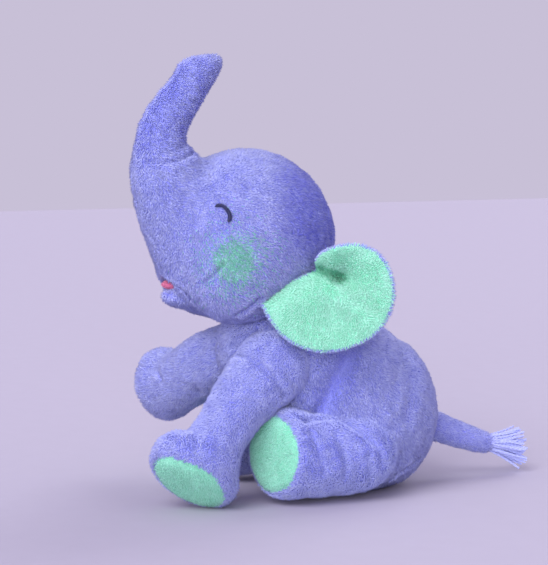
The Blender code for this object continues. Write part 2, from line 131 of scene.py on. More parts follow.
def mottled_material(name: str, colours: tuple[str, str], scale: float, detail: float,
                     roughness: float) -> bpy.types.Material:
    """Make a material whose colour wanders between two near shades.

    Args:
        name: The material's name.
        colours: The two sRGB colours.
        scale: How many patches there are to a metre.
        detail: How many times the patches are broken up.
        roughness: The roughness of the surface.

    Returns:
        The new material.
    """
    made = bpy.data.materials.new(name)
    made.use_nodes = True
    tree = made.node_tree
    place = add_node(tree, "ShaderNodeTexCoord")
    noise = add_node(tree, "ShaderNodeTexNoise", {"Vector": place.outputs["Object"]},
                     {"Scale": scale, "Detail": detail})
    colour = add_node(tree, "ShaderNodeMix", {0: noise.outputs["Fac"]}, data_type="RGBA")
    colour.inputs[6].default_value = linear(colours[0])
    colour.inputs[7].default_value = linear(colours[1])
    shader = tree.nodes["Principled BSDF"]
    tree.links.new(colour.outputs[2], shader.inputs["Base Color"])
    shader.inputs["Roughness"].default_value = roughness
    return made


@cache
def satin_thread() -> bpy.types.Material:
    """Glossy polyester thread, finely mottled: its lighter flecks are painted glints of filaments
    catching the light.
    """
    return mottled_material("eye_satin_polyester_thread", ("#12142c", "#2a2f63"),
                            1 / (0.5 * MM), 2.0, 0.42)


@cache
def twisted_yarn() -> bpy.types.Material:
    """Twisted acrylic yarn, soft and a little fuzzy, in two near shades.

    Returns:
        The material.
    """
    made = mottled_material("tail_twisted_acrylic_yarn", ("#8f98e4", "#cdd3fb"),
                            1 / (0.9 * MM), 4.0, 0.85)
    made.node_tree.nodes["Principled BSDF"].inputs["Sheen Weight"].default_value = 0.3
    return made


@dataclass(frozen=True)
class PlushFinish:
    """Polyester minky plush, knitted with a cut pile that is brushed one way.

    The eye sees lighter and darker strokes where the pile leans towards it or away from it,
    so the pile is made in several shades.  Patches of them stand for those strokes as painted
    light and shade, and partly for the cloth's own uneven tone; the deepest shades are only
    used as painted shade.
    """

    cloth: Cloth
    shades: tuple[str, ...]
    backing: str
    knit_pitch: float = 0.9 * MM

    def pile_materials(self) -> list[bpy.types.Material]:
        """Return the plain fibres of each shade, lightest first."""
        return [self._fibre(index, shade) for index, shade in enumerate(self.shades)]

    @cache
    def _fibre(self, index: int, shade: str) -> bpy.types.Material:
        """Return the material of one shade of fibre.

        Args:
            index: The shade's number, lightest first.
            shade: Its sRGB colour.

        Returns:
            A soft, rough material with a little sheen.
        """
        made = bpy.data.materials.new(f"{self.cloth.value}_polyester_pile_{index}")
        made.use_nodes = True
        shader = made.node_tree.nodes["Principled BSDF"]
        values = {"Base Color": linear(shade), "Roughness": 0.78, "Specular IOR Level": 0.25,
                  "Sheen Weight": 0.25, "Sheen Roughness": 0.45,
                  "Sheen Tint": linear(self.shades[0])}
        for key, value in values.items():
            shader.inputs[key].default_value = value
        return made

    @cache
    def backing_material(self) -> bpy.types.Material:
        """Return the knitted backing that the pile grows from.

        The knit's real gauge is not known: its loops are drawn at the pitch given here.

        Returns:
            A dull material with the knit's loops as a slight bump.
        """
        made = mottled_material(f"{self.cloth.value}_knitted_backing",
                                (self.backing, self.shades[-1]), 1 / (14 * MM), 3.0, 0.92)
        tree = made.node_tree
        shader = tree.nodes["Principled BSDF"]
        place = add_node(tree, "ShaderNodeTexCoord")
        loops = add_node(tree, "ShaderNodeTexVoronoi", {"Vector": place.outputs["Object"]},
                         {"Scale": 1 / self.knit_pitch})
        bump = add_node(tree, "ShaderNodeBump", {"Height": loops.outputs["Distance"]},
                        {"Strength": 0.5, "Distance": 0.3 * MM})
        tree.links.new(bump.outputs["Normal"], shader.inputs["Normal"])
        shader.inputs["Specular IOR Level"].default_value = 0.15
        return made


# Each cloth's first five shades are drawn in random patches; its last two, deeper and more
# saturated, are shaded copies used only as painted shade.
PERIWINKLE = PlushFinish(
    Cloth.PERIWINKLE, ("#d0d5fc", "#c3c9fa", "#b5bbf5", "#a6acee", "#969ce6", "#8286e4", "#6b6fd8"),
    "#9ba1e2")
MINT = PlushFinish(
    Cloth.MINT, ("#c9fdee", "#c1fae9", "#b9f6e3", "#aff1dc", "#a4ebd3", "#84d8b9", "#62bf9c"),
    "#a0e8cf")
BLUSH = PlushFinish(
    Cloth.BLUSH, ("#abeadd", "#9fe0d3", "#92d6c9", "#86ccbf", "#7ac1b4", "#6eb6a9", "#62ab9e"),
    "#82c6ba")
FIBRE = PlushFinish(
    Cloth.FIBRE, ("#f4f4f2", "#ebebe8", "#e2e2de", "#d8d8d4", "#cfcfca", "#c6c6c0", "#bdbdb6"),
    "#e4e4e0")
PINK = PlushFinish(
    Cloth.PINK, ("#f2a6c2", "#ec9ab9", "#e58eb0", "#dd82a6", "#d4769c", "#c96a91", "#bd5f86"),
    "#cf6f95", 0.8 * MM)


# Fields: each is a function of points in millimetres, negative inside.

def oval_field(points: np.ndarray, centre: Sequence[float], radii: Sequence[float]) -> np.ndarray:
    """Distance to an ellipsoid, near enough to true close to its surface.

    Args:
        points: Rows of x, y, z.
        centre: The middle of the ellipsoid.
        radii: Its three half axes.

    Returns:
        One signed distance for each point.
    """
    shifted = points - np.asarray(centre, float)
    radii = np.asarray(radii, float)
    near = np.linalg.norm(shifted / radii, axis=1)
    slope = np.linalg.norm(shifted / radii ** 2, axis=1)
    return near * (near - 1.0) / np.maximum(slope, 1e-9)


def chain_field(points: np.ndarray, stations: Sequence[Sequence[float]]) -> np.ndarray:
    """Distance to a tube whose centre and radius run straight from station to station.

    Args:
        points: Rows of x, y, z.
        stations: Rows of x, y, z and radius.

    Returns:
        One signed distance for each point.
    """
    best = np.full(len(points), 1e9)
    rows = np.asarray(stations, float)
    for start, end in zip(rows, rows[1:]):
        run = end[:3] - start[:3]
        share = np.clip((points - start[:3]) @ run / (run @ run), 0.0, 1.0)
        gap = np.linalg.norm(points - start[:3] - share[:, None] * run, axis=1)
        best = np.minimum(best, gap - (start[3] + (end[3] - start[3]) * share))
    return best


def melt(first: np.ndarray, second: np.ndarray, reach: float) -> np.ndarray:
    """Join two fields with a fillet.

    Args:
        first: Distances to one shape.
        second: Distances to the other.
        reach: How wide the fillet is, in millimetres.

    Returns:
        Distances to the joined shape.
    """
    blend = np.clip(0.5 + 0.5 * (second - first) / reach, 0.0, 1.0)
    return second + (first - second) * blend - reach * blend * (1.0 - blend)


def carve(first: np.ndarray, second: np.ndarray, reach: float) -> np.ndarray:
    """Take the second field's shape away from the first one's, with a rounded edge."""
    return -melt(-first, second, reach)


def smooth_line(points: Sequence[Sequence[float]], count: int) -> np.ndarray:
    """Points along a smooth curve through a few given ones.

    Args:
        points: The curve's own points, of any dimension.
        count: How many points to return.

    Returns:
        Rows along a Catmull-Rom curve.
    """
    rows = np.asarray(points, float)
    padded = np.vstack([2 * rows[0] - rows[1], rows, 2 * rows[-1] - rows[-2]])
    places = np.linspace(0, len(rows) - 1, count)
    spans = np.minimum(places.astype(int), len(rows) - 2)
    share = (places - spans)[:, None]
    before, start, end, after = (padded[spans + step] for step in range(4))
    return 0.5 * (2 * start + (end - before) * share
                  + (2 * before - 5 * start + 4 * end - after) * share ** 2
                  + (3 * start - before - 3 * end + after) * share ** 3)


def net_surface(shape: Field, low: Sequence[float], high: Sequence[float],
                cell: float) -> tuple[np.ndarray, np.ndarray]:
    """Wrap a net of even quads round a field, one point in each cell that its edge crosses.

    Args:
        shape: The field.
        low: The lowest corner of the space that holds it.
        high: The highest corner.
        cell: The size of a cell, in millimetres.

    Returns:
        Points and quads.
    """
    axes = [np.arange(start, end + cell, cell) for start, end in zip(low, high)]
    grid = np.stack(np.meshgrid(*axes, indexing="ij"), -1)
    values = shape(grid.reshape(-1, 3)).reshape(grid.shape[:3])
    cells = tuple(size - 1 for size in values.shape)
    total = np.zeros((*cells, 3))
    crossings = np.zeros(cells)

    def corner(steps: Sequence[int]) -> np.ndarray:
        """Values at one corner of every cell."""
        return values[tuple(slice(s, s + n) for s, n in zip(steps, cells))]

    for axis in range(3):
        others = [other for other in range(3) if other != axis]
        for first, second in itertools.product((0, 1), repeat=2):
            steps = [0, 0, 0]
            steps[others[0]], steps[others[1]] = first, second
            start = corner(steps)
            steps[axis] = 1
            end = corner(steps)
            crossed = (start < 0) != (end < 0)
            safe = np.where(crossed, start - end, 1.0)
            share = np.where(crossed, start / safe, 0.0)
            steps[axis] = 0
            for which in range(3):
                total[..., which] += crossed * steps[which]
            total[..., axis] += share
            crossings += crossed
    active = crossings > 0
    places = np.argwhere(active) + total[active] / crossings[active][:, None]
    points = np.asarray(low, float) + places * cell
    numbers = np.full(cells, -1)
    numbers[active] = np.arange(active.sum())
    quads = []
    inside = values < 0
    for axis in range(3):
        first, second = ((axis + 1) % 3, (axis + 2) % 3)
        start = inside.take(range(values.shape[axis] - 1), axis)
        end = inside.take(range(1, values.shape[axis]), axis)
        for sign in (True, False):
            edges = np.argwhere((start != end) & (start == sign))
            keep = (edges[:, first] > 0) & (edges[:, second] > 0)
            keep &= (edges[:, first] < cells[first]) & (edges[:, second] < cells[second])
            edges = edges[keep]
            ring = []
            turns = ((0, 0), (-1, 0), (-1, -1), (0, -1))
            for step_first, step_second in (turns if sign else turns[::-1]):
                place = edges.copy()
                place[:, first] += step_first
                place[:, second] += step_second
                ring.append(numbers[tuple(place.T)])
            quads.append(np.stack(ring, 1))
    return settle_on(shape, points), np.vstack(quads)


def slope_of(shape: Field, points: np.ndarray, step: float = 0.25) -> np.ndarray:
    """The gradient of a field at each point."""
    shifts = np.eye(3) * step
    return np.stack([(shape(points + s) - shape(points - s)) / (2 * step) for s in shifts], 1)


def settle_on(shape: Field, points: np.ndarray, rounds: int = 3,
              least_slope: float = 0.05) -> np.ndarray:
    """Draw points onto the surface of a field.

    Args:
        shape: The field.
        points: Points near its surface.
        rounds: How many steps are taken.
        least_slope: The least squared slope that is trusted.

    Returns:
        The points on the surface.
    """
    for _ in range(rounds):
        slope = slope_of(shape, points)
        size = np.maximum((slope ** 2).sum(1), least_slope)
        points = points - slope * (shape(points) / size)[:, None]
    return points


def mesh_object(name: str, points: np.ndarray, faces: np.ndarray | list) -> bpy.types.Object:
    """Make an object from points in millimetres and faces.

    Args:
        name: The object's name.
        points: Rows of x, y, z.
        faces: Rows of point numbers.

    Returns:
        A smooth-shaded object at the origin.
    """
    mesh = bpy.data.meshes.new(name)
    rows = faces.tolist() if isinstance(faces, np.ndarray) else faces
    mesh.from_pydata((np.asarray(points) * MM).tolist(), [], rows)
    mesh.validate()
    mesh.shade_smooth()
    return link_object(name, mesh)


def points_of(piece: bpy.types.Object) -> np.ndarray:
    """The points of an object's mesh, in millimetres.

    Args:
        piece: The piece.

    Returns:
        Rows of x, y, z.
    """
    flat = np.empty(len(piece.data.vertices) * 3)
    piece.data.vertices.foreach_get("co", flat)
    return flat.reshape(-1, 3) / MM


def normals_of(piece: bpy.types.Object) -> np.ndarray:
    """The normals at an object's points.

    Args:
        piece: The piece.

    Returns:
        Rows of x, y, z.
    """
    flat = np.empty(len(piece.data.vertices) * 3)
    piece.data.vertex_normals.foreach_get("vector", flat)
    return flat.reshape(-1, 3)


def put_points(piece: bpy.types.Object, points: np.ndarray) -> None:
    """Move an object's points to new places in millimetres."""
    piece.data.vertices.foreach_set("co", (points * MM).ravel())
    piece.data.update()


def put_attribute(piece: bpy.types.Object, name: str, values: np.ndarray) -> None:
    """Store numbers or vectors on an object's points.

    Args:
        piece: The object.
        name: The attribute's name.
        values: One number or one row of three for each point.
    """
    kind, key = ("FLOAT_VECTOR", "vector") if values.ndim == 2 else ("FLOAT", "value")
    made = piece.data.attributes.new(name, kind, "POINT")
    made.data.foreach_set(key, np.asarray(values, np.float32).ravel())


def left_of(points: np.ndarray) -> np.ndarray:
    """Bring points to the toy's left side, by mirroring."""
    return np.column_stack([np.abs(points[:, 0]), points[:, 1:]])


def laid_down(nap: np.ndarray, normals: np.ndarray, least: float = 0.15) -> np.ndarray:
    """Turn the pile's directions to lie along the surface.

    Args:
        nap: The directions before they are laid down.
        normals: The surface's normals.
        least: The shortest direction that is made a full one.

    Returns:
        Directions along the surface.
    """
    flat = nap - normals * (nap * normals).sum(1)[:, None]
    return flat / np.maximum(np.linalg.norm(flat, axis=1), least)[:, None]


def distance_to_line(points: np.ndarray, line: np.ndarray) -> np.ndarray:
    """Distance from each point to a line of straight runs."""
    stations = np.hstack([line, np.zeros((len(line), 1))])
    return chain_field(points, stations)


@dataclass(frozen=True)
class Crease:
    """A sewn seam, or a fold in the cloth: a valley with a soft roll on each side.

    Points, depth and width are in millimetres.
    """

    points: tuple[tuple[float, float, float], ...]
    depth: float
    width: float
    roll: float = 0.25
    mirrored: bool = False

    def lines(self, fineness: int) -> list[np.ndarray]:
        """The crease's curve, and its mirror image where it has one."""
        line = smooth_line(self.points, fineness * len(self.points))
        return [line, line * (-1.0, 1.0, 1.0)] if self.mirrored else [line]

    def shift(self, points: np.ndarray) -> np.ndarray:
        """Find how far each point moves outwards.

        Args:
            points: Rows of x, y, z.

        Returns:
            One distance for each point, in millimetres.
        """
        total = np.zeros(len(points))
        for line in self.lines(6):
            gap = distance_to_line(points, line) / self.width
            valley = np.exp(-gap ** 2)
            total += self.depth * (self.roll * gap ** 2 * np.exp(-gap ** 2 / 2) - valley)
        return total


# How far the pile and the skin stay over the floor, and below what height a skin that is
# pressed on the floor grows no pile, in millimetres.
PILE_CLEARANCE = 0.1
SKIN_CLEARANCE = 0.3
BARE_HEIGHT = 1.0

# How the pile's lean and shade wander over the cloth, and how its tufts differ.
WANDER_SIZE = 9.0 * MM
WANDER_STRENGTH = 2.2
MOOD_SIZE = 6.0 * MM
TUFT_JITTER = 0.42
TUFT_SIZES = (0.72, 1.12)
# The first shades are drawn at random; the deeper ones are reached only through painted shade.
UNSHADED_COUNT = 5
TINT_SEED = 11

# The pile is laid shorter in a crease and on a sole: its length for each millimetre that the
# skin moves out, its limits, and a sole's share.
CROP_PER_MM = 0.14
CROP_LIMITS = (0.55, 1.1)
SOLE_CROP = 0.6


@dataclass(frozen=True)
class Pile:
    """How the pile of a cloth is grown: lengths and widths in metres, density per m2."""

    length: float = 3.0 * MM
    width: float = 0.72 * MM
    density: float = 2.0e6
    lean: float = 1.2
    seed: int = 3

    def grow(self, skin: bpy.types.Object, keep: np.ndarray, name: str,
             finish: PlushFinish, other: PlushFinish) -> bpy.types.Object:
        """Grow pile on some of a skin's faces.

        Args:
            skin: The skin, with nap and tint stored on its points.
            keep: True for each face that is covered.
            name: The new piece's name.
            finish: The cloth where the tint is none.
            other: The cloth where the tint is full.

        Returns:
            The pile as one plain mesh.
        """
        bed = part_of(skin, keep, name + "_bed")
        piece = grown_from(bed, pile_tree(finish, other), name, {
            "Length": self.length, "Width": self.width, "Density": self.density,
            "Lean": self.lean, "Seed": self.seed})
        press_on_floor(piece, PILE_CLEARANCE)
        return piece


def grown_from(bed: bpy.types.Object, tree: bpy.types.NodeTree, name: str,
               values: dict[str, float]) -> bpy.types.Object:
    """Run a Geometry Nodes tree on an object and keep only the plain mesh that it makes.

    Args:
        bed: The object, which is removed.
        tree: The tree.
        name: The new object's name.
        values: The tree's named inputs and their values.

    Returns:
        The new object.
    """
    modifier = bed.modifiers.new("grown", "NODES")
    modifier.node_group = tree
    for item in tree.interface.items_tree:
        if item.in_out == "INPUT" and item.name in values:
            modifier[item.identifier] = values[item.name]
    depsgraph = bpy.context.evaluated_depsgraph_get()
    mesh = bpy.data.meshes.new_from_object(bed.evaluated_get(depsgraph))
    mesh.name = name
    bpy.data.objects.remove(bed)
    return link_object(name, mesh)


def press_on_floor(piece: bpy.types.Object, gap: float) -> None:
    """Flatten whatever would reach below the surface that the toy sits on.

    Args:
        piece: The object.
        gap: How far it stays above that surface, in millimetres.
    """
    points = points_of(piece)
    points[:, 2] = np.maximum(points[:, 2], gap)
    put_points(piece, points)


def part_of(skin: bpy.types.Object, keep: np.ndarray, name: str) -> bpy.types.Object:
    """Copy some of a skin's faces into a new object.

    Args:
        skin: The skin.
        keep: True for each face that is copied.
        name: The new object's name.

    Returns:
        The new object.
    """
    copy = link_object(name, skin.data.copy())
    form = bmesh.new()
    form.from_mesh(copy.data)
    form.faces.ensure_lookup_table()
    spare = [face for face, kept in zip(form.faces, keep) if not kept]
    bmesh.ops.delete(form, geom=spare, context="FACES")
    form.to_mesh(copy.data)
    form.free()
    return copy


@cache
def pile_tree(finish: PlushFinish, other: PlushFinish) -> bpy.types.NodeTree:
    """The Geometry Nodes tree that covers a cloth with leaning tufts of fibre.

    A tuft is a closed three-sided spike.  It leans along the nap, which wanders a little
    from place to place as brushed pile does, and its shade is drawn at random with a bias
    that wanders too, in patches that are partly painted light and shade of the brushed pile.
    The painted shade stored on the skin makes it deeper where shade falls.  A tuft takes the
    other cloth's colour as often as the tint says.

    Args:
        finish: The cloth where the tint is none.
        other: The cloth where the tint is full.

    Returns:
        The tree, made once for each pair of cloths.
    """
    tree = bpy.data.node_groups.new(
        f"pile_of_{finish.cloth.value}_and_{other.cloth.value}", "GeometryNodeTree")
    face = tree.interface
    face.new_socket("Geometry", in_out="INPUT", socket_type="NodeSocketGeometry")
    for label, kind in (("Length", "Float"), ("Width", "Float"), ("Density", "Float"),
                        ("Lean", "Float"), ("Seed", "Int")):
        face.new_socket(label, in_out="INPUT", socket_type=f"NodeSocket{kind}")
    face.new_socket("Geometry", in_out="OUTPUT", socket_type="NodeSocketGeometry")
    given = tree.nodes.new("NodeGroupInput").outputs
    stored = {}
    for label, kind in (("nap", "FLOAT_VECTOR"), ("tint", "FLOAT"), ("crop", "FLOAT"),
                        ("painted_shade", "FLOAT")):
        reader = add_node(tree, "GeometryNodeInputNamedAttribute", inputs={"Name": label},
                          data_type=kind)
        stored[label] = reader.outputs["Attribute"]
    scatter = add_node(tree, "GeometryNodeDistributePointsOnFaces", {
        "Mesh": given["Geometry"], "Density": given["Density"], "Seed": given["Seed"]})

    # The way each tuft leans.
    wander = add_node(tree, "ShaderNodeTexNoise",
                      inputs={"Scale": 1 / WANDER_SIZE, "Detail": 2.0})
    centred = add_node(tree, "ShaderNodeVectorMath", {0: wander.outputs["Color"]},
                       {1: (0.5, 0.5, 0.5)}, operation="SUBTRACT")
    aim = add_node(tree, "ShaderNodeVectorMath", {0: centred.outputs[0]},
                   {"Scale": WANDER_STRENGTH}, operation="SCALE")
    jitter = add_node(tree, "FunctionNodeRandomValue", {"Seed": given["Seed"]},
                      {"Min": (-TUFT_JITTER,) * 3, "Max": (TUFT_JITTER,) * 3},
                      data_type="FLOAT_VECTOR")
    aim = add_node(tree, "ShaderNodeVectorMath", {0: stored["nap"], 1: aim.outputs[0]},
                   operation="ADD")
    aim = add_node(tree, "ShaderNodeVectorMath", {0: aim.outputs[0], "Scale": given["Lean"]},
                   operation="SCALE")
    for push in (scatter.outputs["Normal"], jitter.outputs[0]):
        aim = add_node(tree, "ShaderNodeVectorMath", {0: aim.outputs[0], 1: push},
                       operation="ADD")
    turn = add_node(tree, "FunctionNodeAlignRotationToVector", {"Vector": aim.outputs[0]},
                    axis="Z")

    # The size of each tuft.
    half = add_node(tree, "ShaderNodeMath", {0: given["Width"]}, {1: 0.5}, operation="MULTIPLY")
    spike = add_node(tree, "GeometryNodeMeshCone", {"Radius Bottom": half.outputs[0],
                     "Depth": given["Length"]}, {"Vertices": 3})
    size = add_node(tree, "FunctionNodeRandomValue", {"Seed": given["Seed"]},
                    {2: TUFT_SIZES[0], 3: TUFT_SIZES[1]}, data_type="FLOAT")
    length = add_node(tree, "ShaderNodeMath", {0: size.outputs[1], 1: stored["crop"]},
                      operation="MULTIPLY")

    # The shade of each tuft, made deeper by the painted shade, and whether it takes the other
    # cloth's colour.
    mood = add_node(tree, "ShaderNodeTexNoise", inputs={"Scale": 1 / MOOD_SIZE, "Detail": 3.0})
    chance = add_node(tree, "FunctionNodeRandomValue", {"Seed": given["Seed"]},
                      data_type="FLOAT")
    mixed = add_node(tree, "ShaderNodeMath", {0: mood.outputs["Fac"], 1: chance.outputs[1]},
                     operation="ADD")
    spread = add_node(tree, "ShaderNodeMapRange", {"Value": mixed.outputs[0]},
                      {"From Min": 0.25, "From Max": 1.75, "To Min": 0.0,
                       "To Max": UNSHADED_COUNT - 0.01})
    deeper = add_node(tree, "ShaderNodeMath", {0: spread.outputs[0], 1: stored["painted_shade"]},
                      operation="ADD")
    capped = add_node(tree, "ShaderNodeMath", {0: deeper.outputs[0]},
                      {1: len(finish.shades) - 0.01}, operation="MINIMUM")
    shade = add_node(tree, "ShaderNodeMath", {0: capped.outputs[0]}, operation="FLOOR")
    dice = add_node(tree, "FunctionNodeRandomValue", inputs={"Seed": TINT_SEED},
                    data_type="FLOAT")
    swapped = add_node(tree, "ShaderNodeMath", {0: dice.outputs[1], 1: stored["tint"]},
                       operation="LESS_THAN")
    offset = add_node(tree, "ShaderNodeMath", {0: swapped.outputs[0]},
                      {1: float(len(finish.shades))}, operation="MULTIPLY")
    number = add_node(tree, "ShaderNodeMath", {0: shade.outputs[0], 1: offset.outputs[0]},
                      operation="ADD")

    joined = tree.nodes.new("GeometryNodeJoinGeometry")
    for index, material in enumerate(finish.pile_materials() + other.pile_materials()):
        chosen = add_node(tree, "ShaderNodeMath", {0: number.outputs[0]},
                          {1: float(index), 2: 0.5}, operation="COMPARE")
        tufts = add_node(tree, "GeometryNodeInstanceOnPoints", {
            "Points": scatter.outputs["Points"], "Selection": chosen.outputs[0],
            "Instance": spike.outputs["Mesh"], "Rotation": turn.outputs[0],
            "Scale": length.outputs[0]})
        real = add_node(tree, "GeometryNodeRealizeInstances", {0: tufts.outputs[0]})
        dyed = add_node(tree, "GeometryNodeSetMaterial", {0: real.outputs[0]},
                        {"Material": material})
        tree.links.new(dyed.outputs[0], joined.inputs[0])
    soft = add_node(tree, "GeometryNodeSetShadeSmooth", {0: joined.outputs[0]})
    tree.links.new(soft.outputs[0], tree.nodes.new("NodeGroupOutput").inputs[0])
    return tree


# How the cloth bag that settles over a filling is made, in millimetres.
BAG_CELL = 4.5
BAG_STEPS = 20
BAG_PRESSURE = 4.0
BAG_EXTRA_CLOTH = 0.05
SEAM_REACH = 4.0
NEIGHBOURS = 4


@dataclass
class SoftBody:
    """A stuffed bag of plush: a skin shaped from a field, with seams, folds and pile.

    Lengths are in millimetres, in the frame's axes.
    """

    name: str
    body: str
    replaced: tuple[str, ...]
    fill: float = 0.75
    cell: float = 2.0
    finish: PlushFinish = PERIWINKLE
    other: PlushFinish = MINT
    pile: Pile = field(default_factory=Pile)
    slack: float = 0.0
    blend: tuple[str, tuple[float, float, float], tuple[float, float, float]] | None = None

    def shape(self, points: np.ndarray) -> np.ndarray:
        """The field of the plain stuffed shape."""
        raise NotImplementedError

    def room(self) -> tuple[tuple[float, float, float], tuple[float, float, float]]:
        """The lowest and highest corner of the space that holds the shape."""
        raise NotImplementedError

    def creases(self) -> tuple[Crease, ...]:
        """The seams and folds of the skin."""
        return ()

    def nap(self, points: np.ndarray, normals: np.ndarray) -> np.ndarray:
        """The way the pile is brushed at each point, before it is laid on the surface."""
        return np.tile((0.0, 0.3, -1.0), (len(points), 1))

    def tint(self, points: np.ndarray) -> np.ndarray:
        """The share of the other cloth's colour at each point."""
        return np.zeros(len(points))

    def painted_shade(self, points: np.ndarray) -> np.ndarray:
        """How many shades deeper the pile is painted at each point, as painted shade."""
        return np.zeros(len(points))

    def soled(self, points: np.ndarray) -> np.ndarray:
        """Which points are on a sole, whose cloth has a shorter pile."""
        return np.zeros(len(points), bool)

    def extra_shift(self, points: np.ndarray) -> np.ndarray:
        """A further move outwards at each point."""
        return np.zeros(len(points))

    def regions(self, centres: np.ndarray) -> dict[str, np.ndarray]:
        """The sewn panels, each as a choice of faces by their centres."""
        return {"pile": np.ones(len(centres), bool)}

    def build(self) -> bpy.types.Object:
        """Make the skin, with its creases, and the attributes that guide its pile.

        Returns:
            The skin.
        """
        low, high = self.room()
        points, quads = net_surface(self.shape, low, high, self.cell)
        if self.slack:
            points = points + self.settle_cloth(points)
        skin = mesh_object(f"{self.name}_plush", points, quads)
        normals = normals_of(skin)
        shift = sum((crease.shift(points) for crease in self.creases()), np.zeros(len(points)))
        shift = shift + self.extra_shift(points)
        put_points(skin, points + normals * shift[:, None])
        press_on_floor(skin, SKIN_CLEARANCE)
        normals = normals_of(skin)
        put_attribute(skin, "nap", laid_down(self.nap(points_of(skin), normals), normals))
        put_attribute(skin, "tint", self.tint(points))
        # Painted shade: how many shades deeper the pile is painted where shade falls.
        put_attribute(skin, "painted_shade", self.painted_shade(points))
        crop = np.clip(1.0 + shift * CROP_PER_MM, *CROP_LIMITS)
        put_attribute(skin, "crop", crop * np.where(self.soled(points), SOLE_CROP, 1.0))
        skin.data.materials.append(self.finish.backing_material())
        skin.data.materials.append(self.other.backing_material())
        return skin

    def settle_cloth(self, points: np.ndarray) -> np.ndarray:
        """Let a coarse bag of cloth settle under pressure, held at its seams and folds.

        The settled cloth gives the pattern of rises and hollows, and the slack gives their
        size: the rises are scaled to it, not taken as they come.

        Args:
            points: The fine skin's points.

        Returns:
            How far each of them is carried, at most the slack, in millimetres.
        """
        low, high = self.room()
        rest, quads = net_surface(self.shape, low, high, BAG_CELL)
        bag = mesh_object("cloth_bag", rest, quads)
        held = np.zeros(len(rest))
        for line in itertools.chain(*(crease.lines(4) for crease in self.creases())):
            gap = distance_to_line(rest, line) / SEAM_REACH
            held = np.maximum(held, np.exp(-gap ** 2))
        group = bag.vertex_groups.new(name="sewn")
        for index, weight in enumerate(held):
            group.add([index], float(weight), "REPLACE")
        cloth = bag.modifiers.new("cloth", "CLOTH")
        cloth.settings.quality = 6
        cloth.settings.use_pressure = True
        cloth.settings.uniform_pressure_force = BAG_PRESSURE
        cloth.settings.vertex_group_mass = "sewn"
        cloth.settings.shrink_min = -BAG_EXTRA_CLOTH
        cloth.settings.effector_weights.gravity = 0.0
        scene = bpy.context.scene
        for step in range(1, BAG_STEPS + 1):
            scene.frame_set(step)
            settled = bag.evaluated_get(bpy.context.evaluated_depsgraph_get())
            flat = np.empty(len(rest) * 3)
            settled.data.vertices.foreach_get("co", flat)
        scene.frame_set(1)
        drift = flat.reshape(-1, 3) / MM - rest
        normals = normals_of(bag)
        raw = (drift * normals).sum(1)
        rise = raw - np.median(raw)
        rise = self.slack * np.tanh(rise / max(1e-6, 1.5 * rise.std()))
        tree = KDTree(len(rest))
        for index, place in enumerate(rest):
            tree.insert(place, index)
        tree.balance()
        moved = np.empty_like(points)
        for index, place in enumerate(points):
            near = tree.find_n(place, NEIGHBOURS)
            pull = np.array([1 / (found[2] + 0.5) ** 2 for found in near])
            which = [found[1] for found in near]
            moved[index] = (rise[which, None] * normals[which] * pull[:, None]).sum(0) / pull.sum()
        bpy.data.objects.remove(bag)
        LOG.info("%s: the cloth rose by %.2f to %.2f mm, and carries the skin by up to %.2f mm",
                 self.name, *np.percentile(raw, (5, 95)),
                 np.abs(moved).max())
        return moved

    def dress(self) -> list[bpy.types.Object]:
        """Make the skin and its pile, and hang them on their body, unless they lie between two.

        Returns:
            What was made.
        """
        skin = self.build()
        faces = skin.data.polygons
        centres = np.empty(len(faces) * 3)
        faces.foreach_get("center", centres)
        centres = centres.reshape(-1, 3) / MM
        dyed = (self.tint(centres) > 0.5).astype(np.int32)
        pieces = [skin]
        seen = centres[:, 2] > BARE_HEIGHT
        for index, (label, keep) in enumerate(self.regions(centres).items()):
            pile = replace(self.pile, seed=self.pile.seed + index)
            pieces.append(pile.grow(skin, keep & seen, f"{self.name}_{label}", self.finish,
                                    self.other))
        faces.foreach_set("material_index", dyed)
        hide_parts(*self.replaced)
        for piece in pieces:
            self.hang(piece)
            LOG.info("%s: %d faces", piece.name, len(piece.data.polygons))
        return pieces

    def hang(self, piece: bpy.types.Object) -> None:
        """Put a piece on its body or, where it lies between two bodies, bake its place into its
        points and leave it unparented.

        Args:
            piece: The piece.
        """
        if self.blend is None:
            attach(piece, self.body)
            return
        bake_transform(piece)


